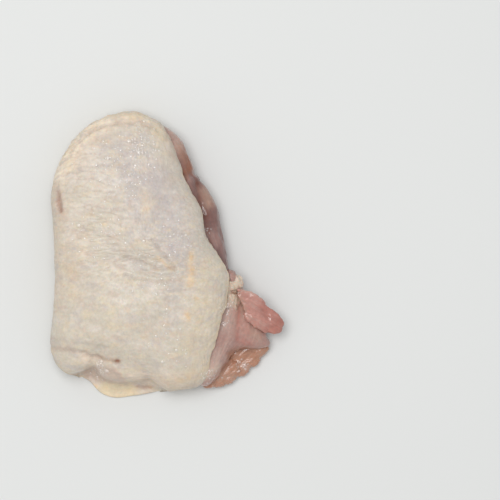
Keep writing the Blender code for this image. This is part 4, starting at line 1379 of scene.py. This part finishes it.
class ThighSkinSettings(bpy.types.PropertyGroup):
    """Sizes and colours of the skin."""

    thickness: length_setting(
        "Thickness", "Thickness of the skin with the thin fat under it", SKIN_THICKNESS * MM,
        0.0005, 0.004,
    )
    ragged_rim: length_setting("Ragged rim", "How far the skin's rim wavers", 0.0011, 0.0, 0.003)
    wrinkle_depth: length_setting("Wrinkle depth", "Depth of the fine wrinkles", 0.00028, 0.0, 0.001)
    pimple_height: length_setting("Pimple height", "Height of the feather follicles", 0.0003, 0.0, 0.001)
    cream: colour_setting("Skin colour", "Ground colour of the skin", CREAM)
    roughness: share_setting("Roughness", "Roughness of the skin under its wet film", 0.5)
    softness: share_setting("Softness", "Share of light that goes through the skin", 0.15)
    skin_columns: steps_setting("Columns", "Mesh columns around the skin", 552, 64, 600)
    skin_rows: steps_setting("Rows", "Mesh rows from crown to rim", 138, 24, 240)


class ThighMeatSettings(bpy.types.PropertyGroup):
    """Mesh steps and finish of the meat, and its beads of moisture."""

    pad_columns: steps_setting("Columns", "Mesh columns around a muscle", 200, 32, 300)
    pad_rows: steps_setting("Rows", "Mesh rows from a muscle's top to its bottom", 150, 16, 240)
    gloss: share_setting("Wet gloss", "Strength of the wet film on the meat", 0.9)
    grain: share_setting("Grain", "Contrast of the fibres", 0.09)
    bead_share: FloatProperty(
        name="Moisture", description="Share of the beads of moisture that are made", default=1.0,
        min=0.0, max=3.0,
    )
    bead_radius: length_setting(
        "Bead radius", "Radius of a common bead of moisture", 0.00034, 0.0001, 0.002
    )


class ThighStageSettings(bpy.types.PropertyGroup):
    """The floor, the lights and the camera."""

    floor_colour: colour_setting("Floor colour", "Colour of the floor", (0.70, 0.71, 0.70))
    key_power: FloatProperty(
        name="Main light", description="Power of the large light overhead", default=5.9,
        min=0.0, max=100.0, unit="POWER",
    )
    sky: FloatProperty(
        name="Surroundings", description="Strength of the even light from all around", default=0.62,
        min=0.0, max=5.0,
    )
    camera_height: length_setting("Camera height", "Height of the camera above the floor", 2.02, 0.3, 5.0)
    frame_width: length_setting(
        "Frame width", "Width that the picture takes in, at the thigh's middle height", 0.194, 0.05, 1.0
    )
    frame_centre: FloatVectorProperty(
        name="Frame centre", description="Point under the middle of the picture",
        default=(0.0328, 0.0019, 0.018), subtype="TRANSLATION", unit="LENGTH",
    )


# Operators


class THIGH_OT_skin(bpy.types.Operator):
    """Make the loose skin that drapes over the meat"""

    bl_idname = "thigh.skin"
    bl_label = "Skin"

    def execute(self, context):
        settings = context.scene.thigh_skin
        grid, tint, wet = skin_grid(settings)
        piece = closed_mesh("loose_skin", grid, tint, wet=wet)
        hand_over(piece, "skin", skin_material(settings))
        return {"FINISHED"}


class THIGH_OT_core(bpy.types.Operator):
    """Make the lump of meat under the skin"""

    bl_idname = "thigh.core"
    bl_label = "Meat under the skin"

    def execute(self, context):
        settings = context.scene.thigh_meat
        points = core_grid(CORE_COLUMNS, CORE_ROWS)
        u, v = points[..., 0], points[..., 1] + points[..., 2]
        fibre = np.stack([v, u], axis=-1) / FIBRE_MAP_LENGTH
        piece = closed_mesh("meat_core", points, core_tint(u, v), fibre)
        material = flesh_material("core_flesh", 0.2, settings.gloss, settings.grain)
        hand_over(piece, "meat", material)
        return {"FINISHED"}


class THIGH_OT_muscles(bpy.types.Operator):
    """Make the bare muscles along the side"""

    bl_idname = "thigh.muscles"
    bl_label = "Bare muscles"

    def execute(self, context):
        settings = context.scene.thigh_meat
        material = flesh_material("bare_flesh", 0.22, settings.gloss, settings.grain)
        columns, rows = settings.pad_columns, settings.pad_rows
        strand = strand_grid(LONG_MUSCLE, columns // 2, 2 * rows)
        build_flesh("long_muscle", strand, LONG_MUSCLE_FINISH, STRAND_SEED, material)
        for number, (name, pad) in enumerate(MUSCLES.items()):
            seed = MUSCLE_SEED + SEED_STEP * number
            build_flesh(name, pad_grid(pad, columns, rows), pad, seed, material)
        return {"FINISHED"}


class THIGH_OT_fat(bpy.types.Operator):
    """Make the lumps of fat at the corner of the skin"""

    bl_idname = "thigh.fat"
    bl_label = "Fat"

    def execute(self, context):
        settings = context.scene.thigh_meat
        material = flesh_material("soft_fat", 0.3, 0.5 * settings.gloss, 0.05)
        columns, rows = settings.pad_columns // 2, settings.pad_rows // 2
        for number, (name, pad) in enumerate(FAT_LUMPS.items()):
            seed = FAT_SEED + SEED_STEP * number
            build_flesh(name, pad_grid(pad, columns, rows), pad, seed, material)
        return {"FINISHED"}


class THIGH_OT_moisture(bpy.types.Operator):
    """Make the small beads of moisture on the skin and the meat"""

    bl_idname = "thigh.moisture"
    bl_label = "Moisture"

    def execute(self, context):
        settings = context.scene.thigh_meat
        surface = upward_surface(["loose_skin", "long_muscle", *MUSCLES, *FAT_LUMPS])
        places, normals, tints = bead_places(*surface, settings)
        # painted light: the beads' tint is lightened towards white
        tints = tints + BEAD_PAINTED_LIGHT * (1 - tints)
        rng = np.random.default_rng(BEAD_SIZE_SEED)
        radii = rng.lognormal(0.0, BEAD_SIZE_SPREAD, len(places)) * settings.bead_radius / MM
        radii[:len(BEADS)] *= SINGLE_BEAD_SIZE
        piece = bead_mesh("moisture_beads", places, normals, tints, radii)
        hand_over(piece, "skin", bead_material())
        return {"FINISHED"}


class THIGH_OT_stage(bpy.types.Operator):
    """Make the plain floor, the soft lights and the camera"""

    bl_idname = "thigh.stage"
    bl_label = "Floor, lights and camera"

    def execute(self, context):
        settings = context.scene.thigh_stage
        scene = context.scene
        scene.view_settings.view_transform = "Standard"
        mesh = bpy.data.meshes.new("floor")
        half = FLOOR_HALF_WIDTH
        mesh.from_pydata(
            [(-half, -half, 0), (half, -half, 0), (half, half, 0), (-half, half, 0)], [], [(0, 1, 2, 3)]
        )
        mesh.materials.append(plain_material("floor", settings.floor_colour, 0.6))
        floor = bpy.data.objects.new("floor", mesh)
        floor.location.z = -FLOOR_BELOW
        scene.collection.objects.link(floor)
        world = bpy.data.worlds.new("even light")
        world.use_nodes = True
        background = world.node_tree.nodes["Background"]
        set_inputs(background, Color=(1.0, 1.0, 1.0, 1.0), Strength=settings.sky)
        scene.world = world
        light = bpy.data.lights.new("overhead", "AREA")
        light.shape = "SQUARE"
        light.size = LIGHT_SIZE
        light.energy = settings.key_power
        overhead = bpy.data.objects.new("overhead", light)
        overhead.location = LIGHT_AT
        aim = Vector(LIGHT_AIM) - overhead.location
        overhead.rotation_euler = aim.to_track_quat("-Z", "Y").to_euler()
        scene.collection.objects.link(overhead)
        camera = bpy.data.cameras.new("camera")
        camera.sensor_width = SENSOR_MM
        centre = Vector(settings.frame_centre)
        camera.lens = SENSOR_MM * (settings.camera_height - centre.z) / settings.frame_width
        camera.clip_start, camera.clip_end = 0.05, 20.0
        above = bpy.data.objects.new("camera", camera)
        above.location = (centre.x, centre.y, settings.camera_height)
        scene.collection.objects.link(above)
        scene.camera = above
        return {"FINISHED"}


class THIGH_PT_panel(bpy.types.Panel):
    """The thigh's pieces and their settings"""

    bl_idname = "THIGH_PT_panel"
    bl_label = "Chicken Thigh"
    bl_space_type = "VIEW_3D"
    bl_region_type = "UI"
    bl_category = "Chicken Thigh"

    def draw(self, context):
        for operator in OPERATORS:
            self.layout.operator(operator.bl_idname)
        for name in ("thigh_skin", "thigh_meat", "thigh_stage"):
            settings = getattr(context.scene, name)
            box = self.layout.box()
            for key in settings.__annotations__:
                box.prop(settings, key)


OPERATORS = (
    THIGH_OT_skin, THIGH_OT_core, THIGH_OT_muscles, THIGH_OT_fat, THIGH_OT_moisture, THIGH_OT_stage,
)
SETTINGS = {
    "thigh_skin": ThighSkinSettings,
    "thigh_meat": ThighMeatSettings,
    "thigh_stage": ThighStageSettings,
}


def register():
    """Registers every class and hangs the settings on the scene."""
    for group in (*SETTINGS.values(), *OPERATORS, THIGH_PT_panel):
        bpy.utils.register_class(group)
    for name, group in SETTINGS.items():
        setattr(bpy.types.Scene, name, PointerProperty(type=group))


def unregister():
    """Takes away what register made."""
    for name in SETTINGS:
        delattr(bpy.types.Scene, name)
    for group in (THIGH_PT_panel, *reversed(OPERATORS), *reversed(list(SETTINGS.values()))):
        bpy.utils.unregister_class(group)


def main():
    """Builds every piece and the stage."""
    register()
    bpy.ops.thigh.skin()
    bpy.ops.thigh.core()
    bpy.ops.thigh.muscles()
    bpy.ops.thigh.fat()
    bpy.ops.thigh.moisture()
    bpy.ops.thigh.stage()


if __name__ == "__main__":
    main()
